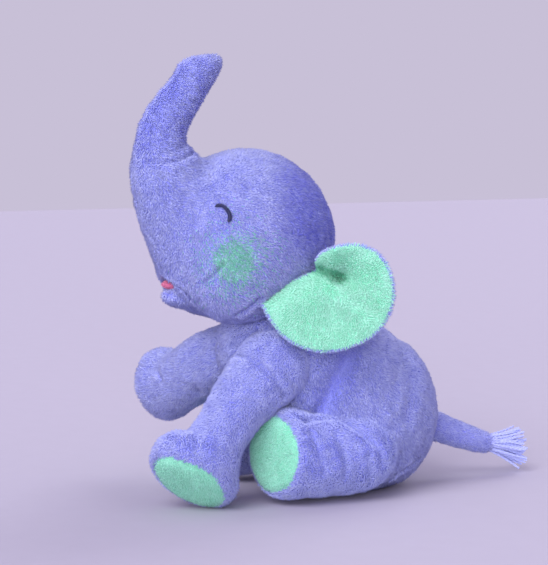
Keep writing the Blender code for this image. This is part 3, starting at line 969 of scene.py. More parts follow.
@dataclass
class Head(SoftBody):
    """The head and the raised trunk, in one skin with a fold at the trunk's base."""

    skull: tuple = ((0, -75, 173), (57, 58, 56.5))
    cheek: tuple = ((29, -93, 150), (26.5, 28, 30))
    lip: tuple = ((0, -118, 134.5), (13, 14.5, 7.2))
    slot: tuple = ((0, -137, 143.0), (13, 14, 4.6))
    trunk_line: tuple = (
        (0, -103, 158, 31), (0, -112.5, 178, 30), (0, -122, 197, 27.2), (0, -129, 213, 23.4),
        (0, -133.5, 225, 18.0), (0, -133.5, 236, 16.0), (0, -131.5, 246, 14.4),
        (0, -125.5, 256.5, 13.2), (0, -117, 268, 12.4), (0, -110.5, 278.5, 12.2),
        (0, -106, 288, 13.4), (0, -103, 298, 13.6),
    )
    tip: tuple = ((0, -107.5, 291.2), (0, -0.1, 1.0))
    blush: tuple = (54, -103, 161)
    blush_reach: float = 17.0

    def shape(self, points: np.ndarray) -> np.ndarray:
        """The field of the head and trunk.

        Args:
            points: Rows of x, y, z, in millimetres.

        Returns:
            One distance for each point, negative inside.
        """
        head = melt(oval_field(points, *self.skull), oval_field(left_of(points), *self.cheek), 14)
        trunk = chain_field(points, smooth_line(self.trunk_line, 30))
        centre, axis = (np.asarray(part, float) for part in self.tip)
        trunk = -melt(-trunk, -((points - centre) @ axis), 9)
        head = melt(head, trunk, 9)
        head = melt(head, oval_field(points, *self.lip), 4)
        return carve(head, oval_field(points, *self.slot), 2.5)

    def room(self) -> tuple:
        """The space round the head and trunk."""
        return (-66, -162, 108), (66, -4, 298)

    def creases(self) -> tuple[Crease, ...]:
        """The face's middle seam, the crown's seams, the fold under the trunk and the jaw."""
        return (
            Crease(((0, -139, 264), (0, -151, 244), (0, -154, 225), (0, -151, 203),
                    (0, -147, 183), (0, -142, 168), (0, -138, 152)), 0.9, 1.8),
            Crease(((10, -112, 226), (12, -88, 230), (13, -60, 229), (13, -34, 216),
                    (12, -19, 196), (11, -12, 172), (10, -18, 140)), 0.8, 1.8, mirrored=True),
            Crease(((13, -147, 224), (18.6, -140.5, 223.6), (20.5, -134.4, 224.2),
                    (20.2, -127.4, 225.4), (16, -120, 227.6), (8, -114, 229)), 2.0, 2.2, 0.4,
                   mirrored=True),
            Crease(((8, -134, 145), (18.9, -125.3, 139), (20.6, -117.7, 131), (26, -106, 122)),
                   2.2, 2.2, 0.4, mirrored=True),
            Crease(((44.6, -97.6, 126.1), (50.2, -90.8, 131.6), (52.5, -84.8, 136.7)), 2.0, 2.2,
                   0.4, mirrored=True),
            Crease(((40.2, -119.2, 147.2), (46.3, -115.3, 152.1), (50.9, -109.6, 159.3)), 1.7,
                   2.0, 0.4, mirrored=True),
            Crease(((3, -146.5, 181), (12, -140, 166), (12, -133.5, 150)), 1.2, 2.0, 0.2),
            Crease(((0, -124, 289), (0, -112, 291), (0, -100, 292)), 1.8, 2.6, 0.2),
        )

    def nap(self, points: np.ndarray, normals: np.ndarray) -> np.ndarray:
        """Pile swept back and down over the head, and back round the trunk."""
        return np.stack([points[:, 0] * 0.004, np.full(len(points), 0.75),
                         np.full(len(points), -0.65)], 1)

    def tint(self, points: np.ndarray) -> np.ndarray:
        """The soft round blush on each cheek."""
        gap = np.linalg.norm(left_of(points) - self.blush, axis=1) / self.blush_reach
        return 0.95 * np.exp(-(gap ** 1.8))

    def painted_shade(self, points: np.ndarray) -> np.ndarray:
        """Painted shade: deeper shades on the shadow side at the back of the head, and on the raised
        trunk.

        Args:
            points: Rows of x, y, z, in millimetres.

        Returns:
            A number of shades for each point.
        """
        back = np.clip((0.375 * np.abs(points[:, 0]) + 0.927 * points[:, 1] + 58) / 26, 0, 1)
        share = back * np.clip((points[:, 2] - 150) / 30, 0, 1)
        raised = np.clip((points[:, 2] - 222) / 12, 0, 1) * np.clip((-95 - points[:, 1]) / 10, 0, 1)
        return 2.4 * share * share * (3 - 2 * share) + 1.0 * raised

    def regions(self, centres: np.ndarray) -> dict[str, np.ndarray]:
        """The two face panels, the crown and the two sides of the trunk.

        Args:
            centres: The faces' centres, in millimetres.

        Returns:
            Each panel's name, and which faces it has.
        """
        trunk = centres[:, 2] > 226 - 0.35 * (centres[:, 1] + 134)
        trunk &= centres[:, 1] < -88
        crown = ~trunk & (np.abs(centres[:, 0]) < 12.5) & (centres[:, 1] > -112)
        left = ~trunk & ~crown & (centres[:, 0] > 0)
        return {"left_face_pile": left, "right_face_pile": ~trunk & ~crown & ~left,
                "crown_pile": crown, "trunk_pile": trunk}


@dataclass
class Torso(SoftBody):
    """The body, which sits flat on its weighted seat."""

    seat: tuple = (0, -1, 51, 60.5)
    chest: tuple = (0, -48, 96, 43.5)
    flank: Crease = Crease(((47.2, -19.8, 96), (50.7, -25.6, 88.1), (52, -31.2, 80.7),
                            (51.7, -36.7, 69.1), (49.3, -41.4, 59.1)), 3.6, 6.5, 0.3,
                           mirrored=True)

    def shape(self, points: np.ndarray) -> np.ndarray:
        """The field of the torso, flat underneath."""
        body = chain_field(points, smooth_line((self.seat, (0, -26, 74, 52.5), self.chest), 8))
        return -melt(-body, points[:, 2], 12)

    def room(self) -> tuple:
        """The space round the torso."""
        return (-68, -100, -3), (68, 66, 146)

    def creases(self) -> tuple[Crease, ...]:
        """The back seam, the belly's seams, the flank's deep fold and the small pulls."""
        return (
            Crease(((0, -8, 126), (0, 24, 104), (0, 44, 80), (0, 57, 55), (0, 56, 30),
                    (0, 42, 8)), 0.9, 2.0),
            Crease(((22, -88, 104), (22, -84, 80), (22, -70, 55), (22, -60, 30), (22, -45, 8)),
                   0.8, 2.0, mirrored=True),
            self.flank,
            Crease(((54, 24, 34), (50, 34, 26), (43, 42, 18)), 1.2, 2.6, 0.4, mirrored=True),
            Crease(((38.3, 35.3, 21.5), (44, 19.3, 14.8), (41.1, 13.3, 9.3)), 1.5, 2.4, 0.4,
                   mirrored=True),
            Crease(((10.9, -89.7, 101.7), (21.7, -85.4, 100.8), (29.4, -79.9, 96.8)), 1.2, 2.2,
                   0.4, mirrored=True),
            Crease(((44, 28, 84), (52, 22, 70), (57, 18, 54)), 1.2, 6.0, mirrored=True),
        )

    def painted_shade(self, points: np.ndarray) -> np.ndarray:
        """Painted shade: deeper shades in the flank's fold, where shade falls."""
        gap = distance_to_line(left_of(points), smooth_line(self.flank.points, 30))
        return 1.3 * np.exp(-(gap / 14.0) ** 2)

    def regions(self, centres: np.ndarray) -> dict[str, np.ndarray]:
        """The belly panel and the two sides.

        Args:
            centres: The faces' centres, in millimetres.

        Returns:
            Each panel's name, and which faces it has.
        """
        belly = (np.abs(centres[:, 0]) < 22) & (centres[:, 1] < 24 - 0.55 * centres[:, 2])
        left = ~belly & (centres[:, 0] > 0)
        return {"left_pile": left, "right_pile": ~belly & ~left, "belly_pile": belly}


@dataclass
class Limb(SoftBody):
    """An arm or a leg, from its root in the torso to its mint sole."""

    line: tuple = ()
    foot: tuple = (26.0, 21.0, 16.0)
    sole: tuple = (0, 0, 0)
    facing: tuple = (0, -1, 0)
    toe: tuple = (0, 0, 1)
    dome: float = 2.5
    folds: tuple[Crease, ...] = ()

    def axes(self) -> np.ndarray:
        """The foot's own axes, as rows: to the toe, across, and out of the sole.

        Returns:
            Three rows, each of length one.
        """
        out = np.asarray(self.facing, float)
        out = out / np.linalg.norm(out)
        toe = np.asarray(self.toe, float)
        toe = toe - out * (toe @ out)
        toe = toe / np.linalg.norm(toe)
        return np.stack([toe, np.cross(out, toe), out])

    def sole_height(self, points: np.ndarray) -> np.ndarray:
        """Height over the domed sole, negative inside the foot.

        Args:
            points: Rows of x, y, z, in millimetres.

        Returns:
            One distance for each point, in millimetres.
        """
        local = (points - np.asarray(self.sole, float)) @ self.axes().T
        spread = (local[:, 0] / self.foot[0]) ** 2 + (local[:, 1] / self.foot[1]) ** 2
        return local[:, 2] - self.dome * np.exp(-spread)

    def side(self, points: np.ndarray) -> np.ndarray:
        """The field of the limb before its sole is cut.

        Args:
            points: Rows of x, y, z, in millimetres.

        Returns:
            One distance for each point, negative inside.
        """
        leg = chain_field(points, smooth_line(self.line, 18))
        axes = self.axes()
        centre = np.asarray(self.sole, float) - axes[2] * self.foot[2] * 0.55
        foot = oval_field((points - centre) @ axes.T, (0, 0, 0), self.foot)
        return melt(leg, foot, 7)

    def shape(self, points: np.ndarray) -> np.ndarray:
        """The field of the limb with its flat sole."""
        return -melt(-self.side(points), -self.sole_height(points), 3.5)

    def room(self) -> tuple:
        """The space round the limb.

        Returns:
            The lowest and the highest corner.
        """
        rows = np.asarray([*self.line, (*self.sole, max(self.foot))], float)
        reach = rows[:, 3:] + 5
        return (tuple((rows[:, :3] - reach).min(0)), tuple((rows[:, :3] + reach).max(0)))

    def creases(self) -> tuple[Crease, ...]:
        """The folds that were given."""
        return self.folds

    def extra_shift(self, points: np.ndarray) -> np.ndarray:
        """The seam round the sole."""
        rim = np.hypot(self.side(points), self.sole_height(points) + 1.0)
        return -0.9 * np.exp(-(rim / 2.2) ** 2)

    def nap(self, points: np.ndarray, normals: np.ndarray) -> np.ndarray:
        """Pile swept towards the foot, and across the sole.

        Args:
            points: Rows of x, y, z, in millimetres.
            normals: The surface's normals there.

        Returns:
            One direction for each point.
        """
        rows = np.asarray(self.line, float)
        along = rows[-1, :3] - rows[0, :3]
        down = np.tile(along / np.linalg.norm(along), (len(points), 1))
        across = np.tile(-self.axes()[0] + 0.4 * self.axes()[1], (len(points), 1))
        return np.where(self.tint(points)[:, None] > 0.5, across, down)

    def soled(self, points: np.ndarray) -> np.ndarray:
        """The sole and its seam."""
        return self.sole_height(points) > -1.6

    def tint(self, points: np.ndarray) -> np.ndarray:
        """Mint on the sole."""
        return self.soled(points).astype(float)


@dataclass
class Ear:
    """A cupped ear of two cloths, mint in front and periwinkle behind, sewn along its rim.

    The outline is the flat ear's, in millimetres.  Each dent is a line across the flat ear,
    with how far the cloth rises along it and how wide that is: the pleat, a valley, a ridge.
    """

    side: str
    sign: float
    outline: tuple = (
        (-46, 1), (-32, 8.5), (-20, 13.5), (-10, 18.5), (-9, 25), (-3, 30.5), (6, 34), (16, 35),
        (27, 32), (36, 23.5), (41, 10), (41, -3), (36, -15), (27, -25), (13, -32), (-3, -35),
        (-18, -32), (-30, -25), (-40, -12),
    )
    dents: tuple = (
        (((-12, 20), (-2, 17), (6, 14)), -7.0, 5.0),
        (((13, 8), (25, -4), (38, -15)), -2.6, 4.0),
        (((6, 3), (18, -9), (31, -19)), 2.2, 6.0),
    )
    sewn: tuple = ((-41, 2), (-20, 13), (-10, 19))
    rim_seam: float = 0.965
    mean_radius: float = 36.0
    seam_depth: float = 0.7
    seam_width: float = 1.6
    front: tuple = (55.5, -82.0, 139.0)
    width_axis: tuple = (0.417, 0.909, 0.0)
    normal: tuple = (0.905, -0.415, 0.09)
    half_thickness: float = 1.7
    rings: int = 22
    steps: int = 120

    def surface(self, flat: np.ndarray, depth: np.ndarray) -> np.ndarray:
        """Place points of the flat ear in space.

        Args:
            flat: Rows of width and height across the ear.
            depth: How far each point stands in front of the ear's middle layer.

        Returns:
            Rows of x, y, z.
        """
        out = np.asarray(self.normal) / np.linalg.norm(self.normal)
        wide = np.asarray(self.width_axis) / np.linalg.norm(self.width_axis)
        high = np.cross(out, wide)
        spread = (flat ** 2).sum(1) / 42.0 ** 2
        cup = -6.5 * (1 - spread)
        for line, rise, reach in self.dents:
            gap = distance_to_line(pad(flat), pad(smooth_line(line, 12)))
            cup += rise * np.exp(-(gap / reach) ** 2)
        hollow = np.linalg.norm((flat - (7, 13)) / (1.2, 1.0), axis=1)
        cup -= 9.0 * np.exp(-(hollow / 7.5) ** 2)
        curl = np.clip((flat[:, 1] - 17) / 14, 0, 1) * np.clip((26 - flat[:, 0]) / 22, 0, 1)
        cup += 8.0 * curl ** 1.5
        gap = distance_to_line(pad(flat), pad(np.asarray(self.sewn, float)))
        cup -= 9.0 * np.exp(-(gap / 8.0) ** 2)
        start = np.asarray(self.front) - wide * self.sewn[0][0] - high * self.sewn[0][1]
        placed = start + flat[:, :1] * wide + flat[:, 1:] * high + (cup + depth)[:, None] * out
        return placed * (self.sign, 1, 1)

    def build(self) -> bpy.types.Object:
        """Make the closed two-layer ear with a rounded rim.

        Returns:
            The skin.
        """
        closed = (*self.outline, self.outline[0])
        rim = smooth_line(closed, self.steps + 1)[:-1]
        shares = np.linspace(0, 1, self.rings + 1)[1:]
        layers = []
        for face in (1.0, -1.0):
            edge = np.sqrt(np.clip(1 - shares ** 14, 0, 1))
            flat = (rim[None] * shares[:, None, None]).reshape(-1, 2)
            depth = np.repeat(edge, self.steps) * self.half_thickness * face
            middle = self.surface(np.zeros((1, 2)), np.array([self.half_thickness * face]))
            layers.append((self.surface(flat, depth), middle))
        count = self.steps
        size = len(layers[0][0])
        points = np.vstack([layers[0][0], layers[1][0][:-count], layers[0][1], layers[1][1]])
        tops = (2 * size - count, 2 * size - count + 1)
        faces = []
        for layer in (0, 1):
            for ring in range(self.rings - 1):
                for step in range(count):
                    after = (step + 1) % count
                    quad = [ring * count + step, ring * count + after,
                            (ring + 1) * count + after, (ring + 1) * count + step]
                    if layer:
                        outer = [n if n >= size - count else n + size for n in quad]
                        quad = outer[::-1]
                    faces.append(quad if self.sign > 0 else quad[::-1])
            for step in range(count):
                after = (step + 1) % count
                base = size if layer else 0
                fan = [base + after, base + step, tops[layer]]
                fan = fan[::-1] if layer else fan
                faces.append(fan if self.sign > 0 else fan[::-1])
        return mesh_object(f"{self.side}_ear_plush", points, faces)

    def dress(self) -> list[bpy.types.Object]:
        """Make the ear and its pile, and hang them on the ear's body.

        Returns:
            What was made.
        """
        ear = self.build()
        count, size = self.steps, self.steps * self.rings
        share = np.ones(len(ear.data.vertices))
        rings = np.repeat(np.arange(1, self.rings + 1), count) / self.rings
        share[:size] = rings
        share[size:2 * size - count] = rings[:-count]
        share[2 * size - count:] = 0.0
        front = np.zeros(len(ear.data.vertices), bool)
        front[:size] = True
        front[2 * size - count] = True
        points, normals = points_of(ear), normals_of(ear)
        gap = (share - self.rim_seam) * self.mean_radius / self.seam_width
        seam = -self.seam_depth * np.exp(-gap ** 2) * front
        put_points(ear, points + normals * seam[:, None])
        points, normals = points_of(ear), normals_of(ear)
        middle = points[:size].mean(0)
        away = points - middle
        nap = laid_down(np.stack([away[:, 0] * 0.3, away[:, 1], away[:, 2] - 8], 1), normals)
        mint = (front & (share < 0.975)).astype(float)
        put_attribute(ear, "nap", nap)
        put_attribute(ear, "tint", mint)
        # Painted shade: the pile is painted several shades deeper in the hollow under the pleat,
        # where shade falls.
        hollow = distance_to_line(
            points, self.surface(smooth_line(((-6, 18), (2, 16), (9, 13)), 9), np.zeros(9)))
        put_attribute(ear, "painted_shade", 4.2 * np.exp(-(hollow / 8.5) ** 2))
        put_attribute(ear, "crop", np.where(front, 1.05, 0.95) + seam * 0.2)
        ear.data.materials.append(PERIWINKLE.backing_material())
        ear.data.materials.append(MINT.backing_material())
        faces = ear.data.polygons
        inner = np.array([all(mint[v] > 0.5 for v in face.vertices) for face in faces])
        pieces = [ear]
        for index, (label, keep) in enumerate((("inner_pile", inner), ("back_pile", ~inner))):
            pile = Pile(length=2.4 * MM, seed=40 + index)
            pieces.append(pile.grow(ear, keep, f"{self.side}_ear_{label}", PERIWINKLE, MINT))
        faces.foreach_set("material_index", inner.astype(np.int32))
        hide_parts(f"{self.side}_ear_inner_panel", f"{self.side}_ear_back_panel")
        for piece in pieces:
            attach(piece, f"{self.side}_ear")
            LOG.info("%s: %d faces", piece.name, len(piece.data.polygons))
        return pieces


def pad(flat: np.ndarray) -> np.ndarray:
    """Give flat points a third coordinate of none."""
    return np.hstack([flat, np.zeros((len(flat), 1))])


@dataclass
class EyeStitch:
    """A sleeping eye: a lid line sewn in close satin stitches of dark thread."""

    side: str
    sign: float
    surface: Field
    arc: tuple = ((-109.8, 194.6), (-107.3, 195.7), (-105.1, 194.4), (-103.4, 191.4),
                  (-103.0, 188.4), (-104.2, 185.2))
    thread: float = 0.42
    breadth: float = 2.6

    def dress(self) -> bpy.types.Object:
        """Lay the stitches side by side along the arc and hang them on the head.

        Returns:
            What was made.
        """
        line = smooth_line(self.arc, 220)
        steps = np.concatenate([[0], np.cumsum(np.linalg.norm(np.diff(line, axis=0), axis=1))])
        count = int(steps[-1] / (self.thread * 0.9))
        places = np.linspace(0, steps[-1], count)
        flat = np.stack([np.interp(places, steps, line[:, axis]) for axis in (0, 1)], 1)
        runs = np.gradient(flat, axis=0)
        runs = runs / np.linalg.norm(runs, axis=1)[:, None]
        across = np.stack([-runs[:, 1], runs[:, 0]], 1)
        taper = np.sqrt(np.clip(1 - np.abs(np.linspace(-1, 1, count)) ** 6, 0.12, 1))
        points, faces = [], []
        ring, lengths = 6, 7
        for index in range(count):
            shares = np.linspace(-1, 1, lengths)
            half = self.breadth / 2 * taper[index]
            centre = flat[index] + shares[:, None] * half * across[index]
            path = self.lay(centre)
            slope = slope_of(self.surface, path)
            up = slope / np.linalg.norm(slope, axis=1)[:, None]
            lift = 2.1 + 0.8 * (1 - shares ** 2)
            path = path + up * lift[:, None]
            run = np.gradient(path, axis=0)
            run = run / np.linalg.norm(run, axis=1)[:, None]
            side = np.cross(run, up)
            start = len(points)
            for step in range(lengths):
                radius = self.thread * 0.62 * math.sqrt(max(0.1, 1 - shares[step] ** 4))
                for turn in range(ring):
                    angle = 2 * math.pi * turn / ring
                    points.append(path[step] + radius * (math.cos(angle) * side[step]
                                                         + math.sin(angle) * up[step]))
            for step in range(lengths - 1):
                for turn in range(ring):
                    after = (turn + 1) % ring
                    faces.append([start + step * ring + turn, start + step * ring + after,
                                  start + (step + 1) * ring + after,
                                  start + (step + 1) * ring + turn])
            faces.append([start + turn for turn in range(ring)][::-1])
            faces.append([start + (lengths - 1) * ring + turn for turn in range(ring)])
        piece = mesh_object(f"{self.side}_eye_satin_stitches", np.array(points), faces)
        form = bmesh.new()
        form.from_mesh(piece.data)
        bmesh.ops.recalc_face_normals(form, faces=form.faces)
        form.to_mesh(piece.data)
        form.free()
        piece.data.materials.append(satin_thread())
        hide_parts(f"{self.side}_eye_stitch")
        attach(piece, "head")
        LOG.info("%s: %d stitches", piece.name, count)
        return piece

    def lay(self, flat: np.ndarray) -> np.ndarray:
        """Push flat points sideways onto the face.

        Args:
            flat: Rows of y and z.

        Returns:
            Rows of x, y, z on the cheek's surface.
        """
        low, high = np.zeros(len(flat)), np.full(len(flat), 80.0)
        for _ in range(30):
            middle = (low + high) / 2
            inside = self.surface(np.column_stack([middle * self.sign, flat])) < 0
            low, high = np.where(inside, middle, low), np.where(inside, high, middle)
        return np.column_stack([low * self.sign, flat])


@dataclass
class Tail:
    """A thin stuffed tube of plush that ends in a tuft of twisted yarn."""

    strands: int = 90
    yarn: float = 1.6
    steps: int = 46

    def skin(self) -> SoftBody:
        """Return the tube."""
        return TailTube("tail", "tail", ("tail_skin",), cell=1.1,
                        pile=Pile(length=2.2 * MM, width=0.45 * MM, seed=60))

    def tree(self) -> bpy.types.NodeTree:
        """Return the tree that puts a round tube on each ply's path.

        Returns:
            The tree.
        """
        tree = bpy.data.node_groups.new("yarn_plies", "GeometryNodeTree")
        face = tree.interface
        face.new_socket("Geometry", in_out="INPUT", socket_type="NodeSocketGeometry")
        face.new_socket("Radius", in_out="INPUT", socket_type="NodeSocketFloat")
        face.new_socket("Geometry", in_out="OUTPUT", socket_type="NodeSocketGeometry")
        source, sink = tree.nodes.new("NodeGroupInput"), tree.nodes.new("NodeGroupOutput")
        line = add_node(tree, "GeometryNodeMeshToCurve", {0: source.outputs[0]})
        ring = add_node(tree, "GeometryNodeCurvePrimitiveCircle",
                        {"Radius": source.outputs["Radius"]}, {"Resolution": 6})
        tube = add_node(tree, "GeometryNodeCurveToMesh",
                        {"Curve": line.outputs[0], "Profile Curve": ring.outputs[0]},
                        {"Fill Caps": True})
        real = add_node(tree, "GeometryNodeRealizeInstances", {0: tube.outputs[0]})
        dyed = add_node(tree, "GeometryNodeSetMaterial", {0: real.outputs[0]},
                        {"Material": twisted_yarn()})
        soft = add_node(tree, "GeometryNodeSetShadeSmooth", {0: dyed.outputs[0]})
        tree.links.new(soft.outputs[0], sink.inputs[0])
        return tree

    def tuft(self) -> bpy.types.Object:
        """Make the yarn strands, which fan out and curl at their ends.

        Returns:
            The strands, as one plain mesh.
        """
        rng = np.random.default_rng(5)
        points, edges = [], []
        for strand in range(self.strands):
            angle = 2.4 * strand
            reach = math.sqrt((strand + 0.5) / self.strands)
            out = np.array([math.cos(angle), 0.15 * math.sin(angle), math.sin(angle)]) * reach
            root = np.array([0, 103, 23.0]) + out * (4.6, 0, 4.6)
            length = 33 - 5 * reach + rng.uniform(-3, 3)
            bend = rng.uniform(-1, 1, 3) * (4.0, 2.0, 4.0)
            shares = np.linspace(0, 1, self.steps)
            spine = (root + shares[:, None] * np.array([0, length, -4.5])
                     + (shares[:, None] ** 1.3) * out * (7.0, 0, 8.0)
                     + (shares[:, None] ** 2) * bend)
            for ply in range(2):
                twist = shares * length * 1.15 + ply * math.pi
                offset = np.stack([np.cos(twist), np.zeros(self.steps), np.sin(twist)], 1)
                start = len(points)
                points.extend(spine + offset * self.yarn * 0.27)
                edges.extend((start + n, start + n + 1) for n in range(self.steps - 1))
        mesh = bpy.data.meshes.new("tail_tuft_paths")
        mesh.from_pydata((np.array(points) * MM).tolist(), edges, [])
        paths = link_object("tail_tuft_paths", mesh)
        return grown_from(paths, self.tree(), "tail_yarn_tuft", {"Radius": self.yarn * 0.3 * MM})

    def dress(self) -> None:
        """Make the tube and its tuft, and hang them on the tail."""
        self.skin().dress()
        tuft = self.tuft()
        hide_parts("tail_tuft")
        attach(tuft, "tail")
        LOG.info("%s: %d faces", tuft.name, len(tuft.data.polygons))


@dataclass
class TailTube(SoftBody):
    """The tail's tube, from the torso's back to the yarn."""

    line: tuple = ((0, 54, 40, 10.5), (0, 66, 36.5, 9.8), (0, 80, 31, 8.8), (0, 94, 26, 8.0),
                   (0, 105, 22.5, 6.8))

    def shape(self, points: np.ndarray) -> np.ndarray:
        """The field of the tube."""
        return chain_field(points, smooth_line(self.line, 14))

    def room(self) -> tuple:
        """The space round the tube."""
        return (-14, 38, 10), (14, 118, 56)

    def creases(self) -> tuple[Crease, ...]:
        """The tube's seam underneath."""
        return (Crease(((0, 60, 28), (0, 78, 22), (0, 94, 18)), 0.6, 1.4),)

    def nap(self, points: np.ndarray, normals: np.ndarray) -> np.ndarray:
        """Pile swept to the tail's end."""
        return np.tile((0.0, 1.0, -0.35), (len(points), 1))


@dataclass
class Tongue(SoftBody):
    """The pink lining, seen between the lips."""

    def shape(self, points: np.ndarray) -> np.ndarray:
        """The field of the lining."""
        return oval_field(points, (0, -123.8, 142.2), (9, 9, 3.0))

    def room(self) -> tuple:
        """The space round the lining."""
        return (-14, -142, 134), (14, -110, 150)

    def nap(self, points: np.ndarray, normals: np.ndarray) -> np.ndarray:
        """Pile swept to the lips."""
        return np.tile((0.0, -1.0, 0.0), (len(points), 1))


class NeckFibre(SoftBody):
    """The pad of fibre inside the neck, where the head is sewn on."""

    def shape(self, points: np.ndarray) -> np.ndarray:
        """The field of the pad."""
        return oval_field(points, (0, -50, 92), (27, 27, 30))

    def room(self) -> tuple:
        """The space round the pad."""
        return (-32, -82, 58), (32, -18, 126)


@dataclass
class Studio:
    """The camera, the floor and the soft light."""

    azimuth: float = 68.0
    elevation: float = 5.5
    distance: float = 1.45
    along: float = -50.0
    height: float = 139.0
    frame_height: float = 0.384
    sensor: float = 36.0
    floor_reach: float = 3.0

    def camera(self) -> None:
        """Put up the camera and make it the scene's own."""
        turn, rise = math.radians(self.azimuth), math.radians(self.elevation)
        right = Vector((math.cos(turn), math.sin(turn), 0))
        away = Vector((math.sin(turn) * math.cos(rise), -math.cos(turn) * math.cos(rise),
                       math.sin(rise)))
        aim = (right * self.along + Vector((0, 0, self.height))) * MM
        lens = bpy.data.cameras.new("camera")
        lens.sensor_fit = "VERTICAL"
        lens.sensor_width = lens.sensor_height = self.sensor
        lens.lens = self.sensor * self.distance / self.frame_height
        lens.clip_start = 0.05
        made = link_object("camera", lens)
        made.location = aim + away * self.distance
        made.rotation_euler = away.to_track_quat("Z", "Y").to_euler()
        bpy.context.scene.camera = made

    def sun(self, name: str, place: Sequence[float], power: float) -> None:
        """Shine one broad even light from the direction of a place, in W/m2.

        Args:
            name: The object's name.
            place: Where it shines from.
            power: Its strength, in W/m2.
        """
        data = bpy.data.lights.new(name, "SUN")
        data.energy, data.angle = power, math.radians(38)
        made = link_object(name, data)
        made.rotation_euler = Vector(place).to_track_quat("Z", "Y").to_euler()

    def floor(self) -> None:
        """Make the plain, flat floor."""
        mesh = bpy.data.meshes.new("floor")
        far = self.floor_reach
        mesh.from_pydata([(-far, -far, 0), (far, -far, 0), (far, far, 0), (-far, far, 0)],
                         [], [(0, 1, 2, 3)])
        mesh.materials.append(mottled_material("matt_paper_floor", ("#b0aabd", "#b4aec1"),
                                               60.0, 3.0, 0.9))
        link_object("floor", mesh)

    def set_up(self) -> None:
        """Put everything in place."""
        self.camera()
        self.floor()
        world = bpy.data.worlds.new("soft_room")
        world.use_nodes = True
        back = world.node_tree.nodes["Background"]
        back.inputs["Color"].default_value = linear("#c8c0d7")
        back.inputs["Strength"].default_value = 1.0
        bpy.context.scene.world = world
        self.sun("key_through_scrim", (0.75, -1.0, 1.15), 2.0)
        self.sun("low_front_fill", (1.35, -0.75, 0.10), 2.6)
        self.sun("back_fill", (-0.7, 1.1, 0.9), 1.1)
        bpy.context.scene.view_settings.view_transform = "Standard"


def limb_nodes(name: str) -> tuple[str, ...]:
    """The nodes that one limb's skin stands for."""
    return tuple(f"{name}_{part}" for part in ("outer_panel", "inner_panel", "sole_pad",
                                                "stuffing"))


def make_head() -> Head:
    """The head with its trunk."""
    return Head("head", "trunk", slack=0.8, replaced=(
                 "head_left_panel", "head_right_panel", "crown_gusset", "jaw_panel",
                 "head_stuffing", "trunk_left_panel", "trunk_right_panel", "trunk_stuffing"),
                other=BLUSH, blend=("head", (0, -127, 210.6), (0, -139.5, 232.3)), pile=Pile(seed=3))


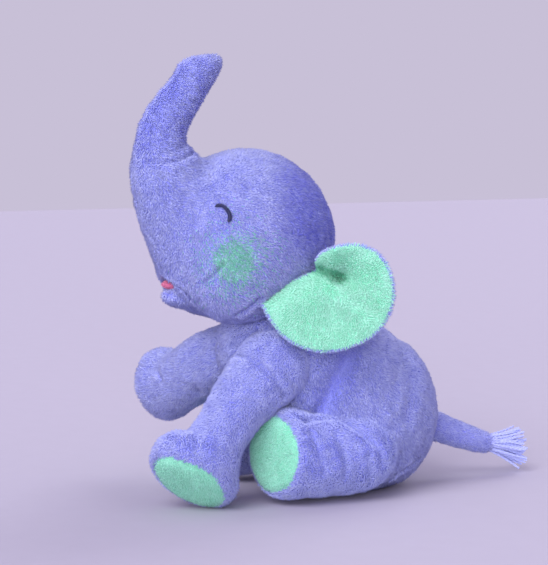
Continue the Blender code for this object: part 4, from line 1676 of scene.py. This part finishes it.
def make_limbs() -> tuple[Limb, ...]:
    """The four limbs, each in the pose that it is sewn in.

    Returns:
        The arms, then the legs.
    """
    left_arm = Limb(
        "left_arm", "left_arm", limb_nodes("left_arm"), cell=1.7, slack=0.8, pile=Pile(seed=20),
        line=((34, -70, 88, 24), (39, -90, 71, 20), (43, -107, 51, 17.2), (47, -123, 32, 19.5),
              (46, -138, 36, 15.5)),
        foot=(29.5, 22.5, 20), sole=(48, -131, 17.5), facing=(0.52, -0.50, -0.69),
        toe=(0, -0.816, 0.578), blend=("torso", (35, -72, 84), (37, -84, 74)),
        folds=(Crease(((26, -94, 98), (39.3, -92.2, 98.6), (51.4, -85.8, 95.9),
                       (57.7, -77.9, 86.5), (54, -68.8, 72.5)), 2.4, 2.8, 0.35),
               Crease(((20, -98, 92), (24, -108, 80), (26, -116, 66)), 1.2, 2.4),
               Crease(((54, -96, 62), (58, -102, 54), (58, -108, 47)), 1.3, 2.6)))
    right_arm = Limb(
        "right_arm", "right_arm", limb_nodes("right_arm"), cell=1.7, slack=0.8, pile=Pile(seed=24),
        line=((-34, -70, 88, 22), (-52, -84, 80, 21), (-74, -93, 67, 20),
              (-92, -97, 61, 20)),
        foot=(24.5, 23, 17), sole=(-104, -100, 60), facing=(-0.88, -0.36, -0.30),
        toe=(0, -0.3, 1), blend=("torso", (-36, -71, 87), (-48, -79, 82)),
        folds=(Crease(((-30, -94, 96), (-44, -98, 84), (-42, -92, 66)), 1.8, 3.0, 0.3),
               Crease(((-82.8, -115, 75), (-74.3, -112, 75), (-66, -110, 70)), 1.8, 2.4)))
    legs = []
    for side, sign in (("left", 1), ("right", -1)):
        start, end = (46 * sign, -20, 31), (47 * sign, -42, 30)
        legs.append(Limb(
            f"{side}_leg", f"{side}_leg", limb_nodes(f"{side}_leg"), cell=1.7, slack=0.9,
            pile=Pile(seed=28 if sign > 0 else 32),
            line=((44 * sign, -14, 32, 27), (45 * sign, -32, 31, 26.5),
                  (46 * sign, -48, 31, 26.5), (47 * sign, -62, 33, 26.5)),
            foot=(28, 24.5, 20), sole=(48 * sign, -75, 34),
            facing=(0.326 * sign, -0.945, 0.05), toe=(0, 0, 1), blend=("torso", start, end),
            folds=(
                Crease(((61.4 * sign, -57, 56), (55 * sign, -45, 57.5), (57 * sign, -30, 56),
                        (65.8 * sign, -19.3, 47.7), (69.9 * sign, -9, 37.7),
                        (68 * sign, -4, 26)), 2.6, 3.0, 0.3),
                Crease(((66.8 * sign, -55.2, 50), (72.5 * sign, -50.6, 34.4),
                        (71.6 * sign, -47.3, 24.2)), 1.7, 2.6, 0.3),
                Crease(((65.8 * sign, -37.1, 47.5), (71.5 * sign, -32.5, 31.7),
                        (68.5 * sign, -32.5, 18.7)), 1.7, 2.6, 0.3),
                Crease(((69.9 * sign, -16, 33), (68 * sign, -14, 22), (60 * sign, -12, 12)),
                       1.5, 2.4, 0.3))))
    return left_arm, right_arm, *legs


def main() -> None:
    """Dress the whole toy and put up the studio."""
    logging.basicConfig(level=logging.INFO, format="%(message)s")
    head = make_head()
    head.dress()
    Torso("torso", "torso", ("torso_left_panel", "torso_right_panel", "belly_panel",
                             "torso_stuffing", "bean_bag"), slack=1.3,
          pile=Pile(seed=10)).dress()
    for limb in make_limbs():
        limb.dress()
    for side, sign in (("left", 1.0), ("right", -1.0)):
        Ear(side, sign).dress()
        EyeStitch(side, sign, head.shape).dress()
    Tail().dress()
    Tongue("mouth_lining", "head", ("mouth_lining",), cell=0.9, finish=PINK, other=PINK, fill=0.4,
           pile=Pile(length=1.1 * MM, width=0.4 * MM, seed=71)).dress()
    NeckFibre("neck_fibre", "neck", ("neck_stuffing",), finish=FIBRE, other=FIBRE,
              pile=Pile(density=4e5, seed=80)).dress()
    Studio().set_up()


if __name__ == "__main__":
    main()
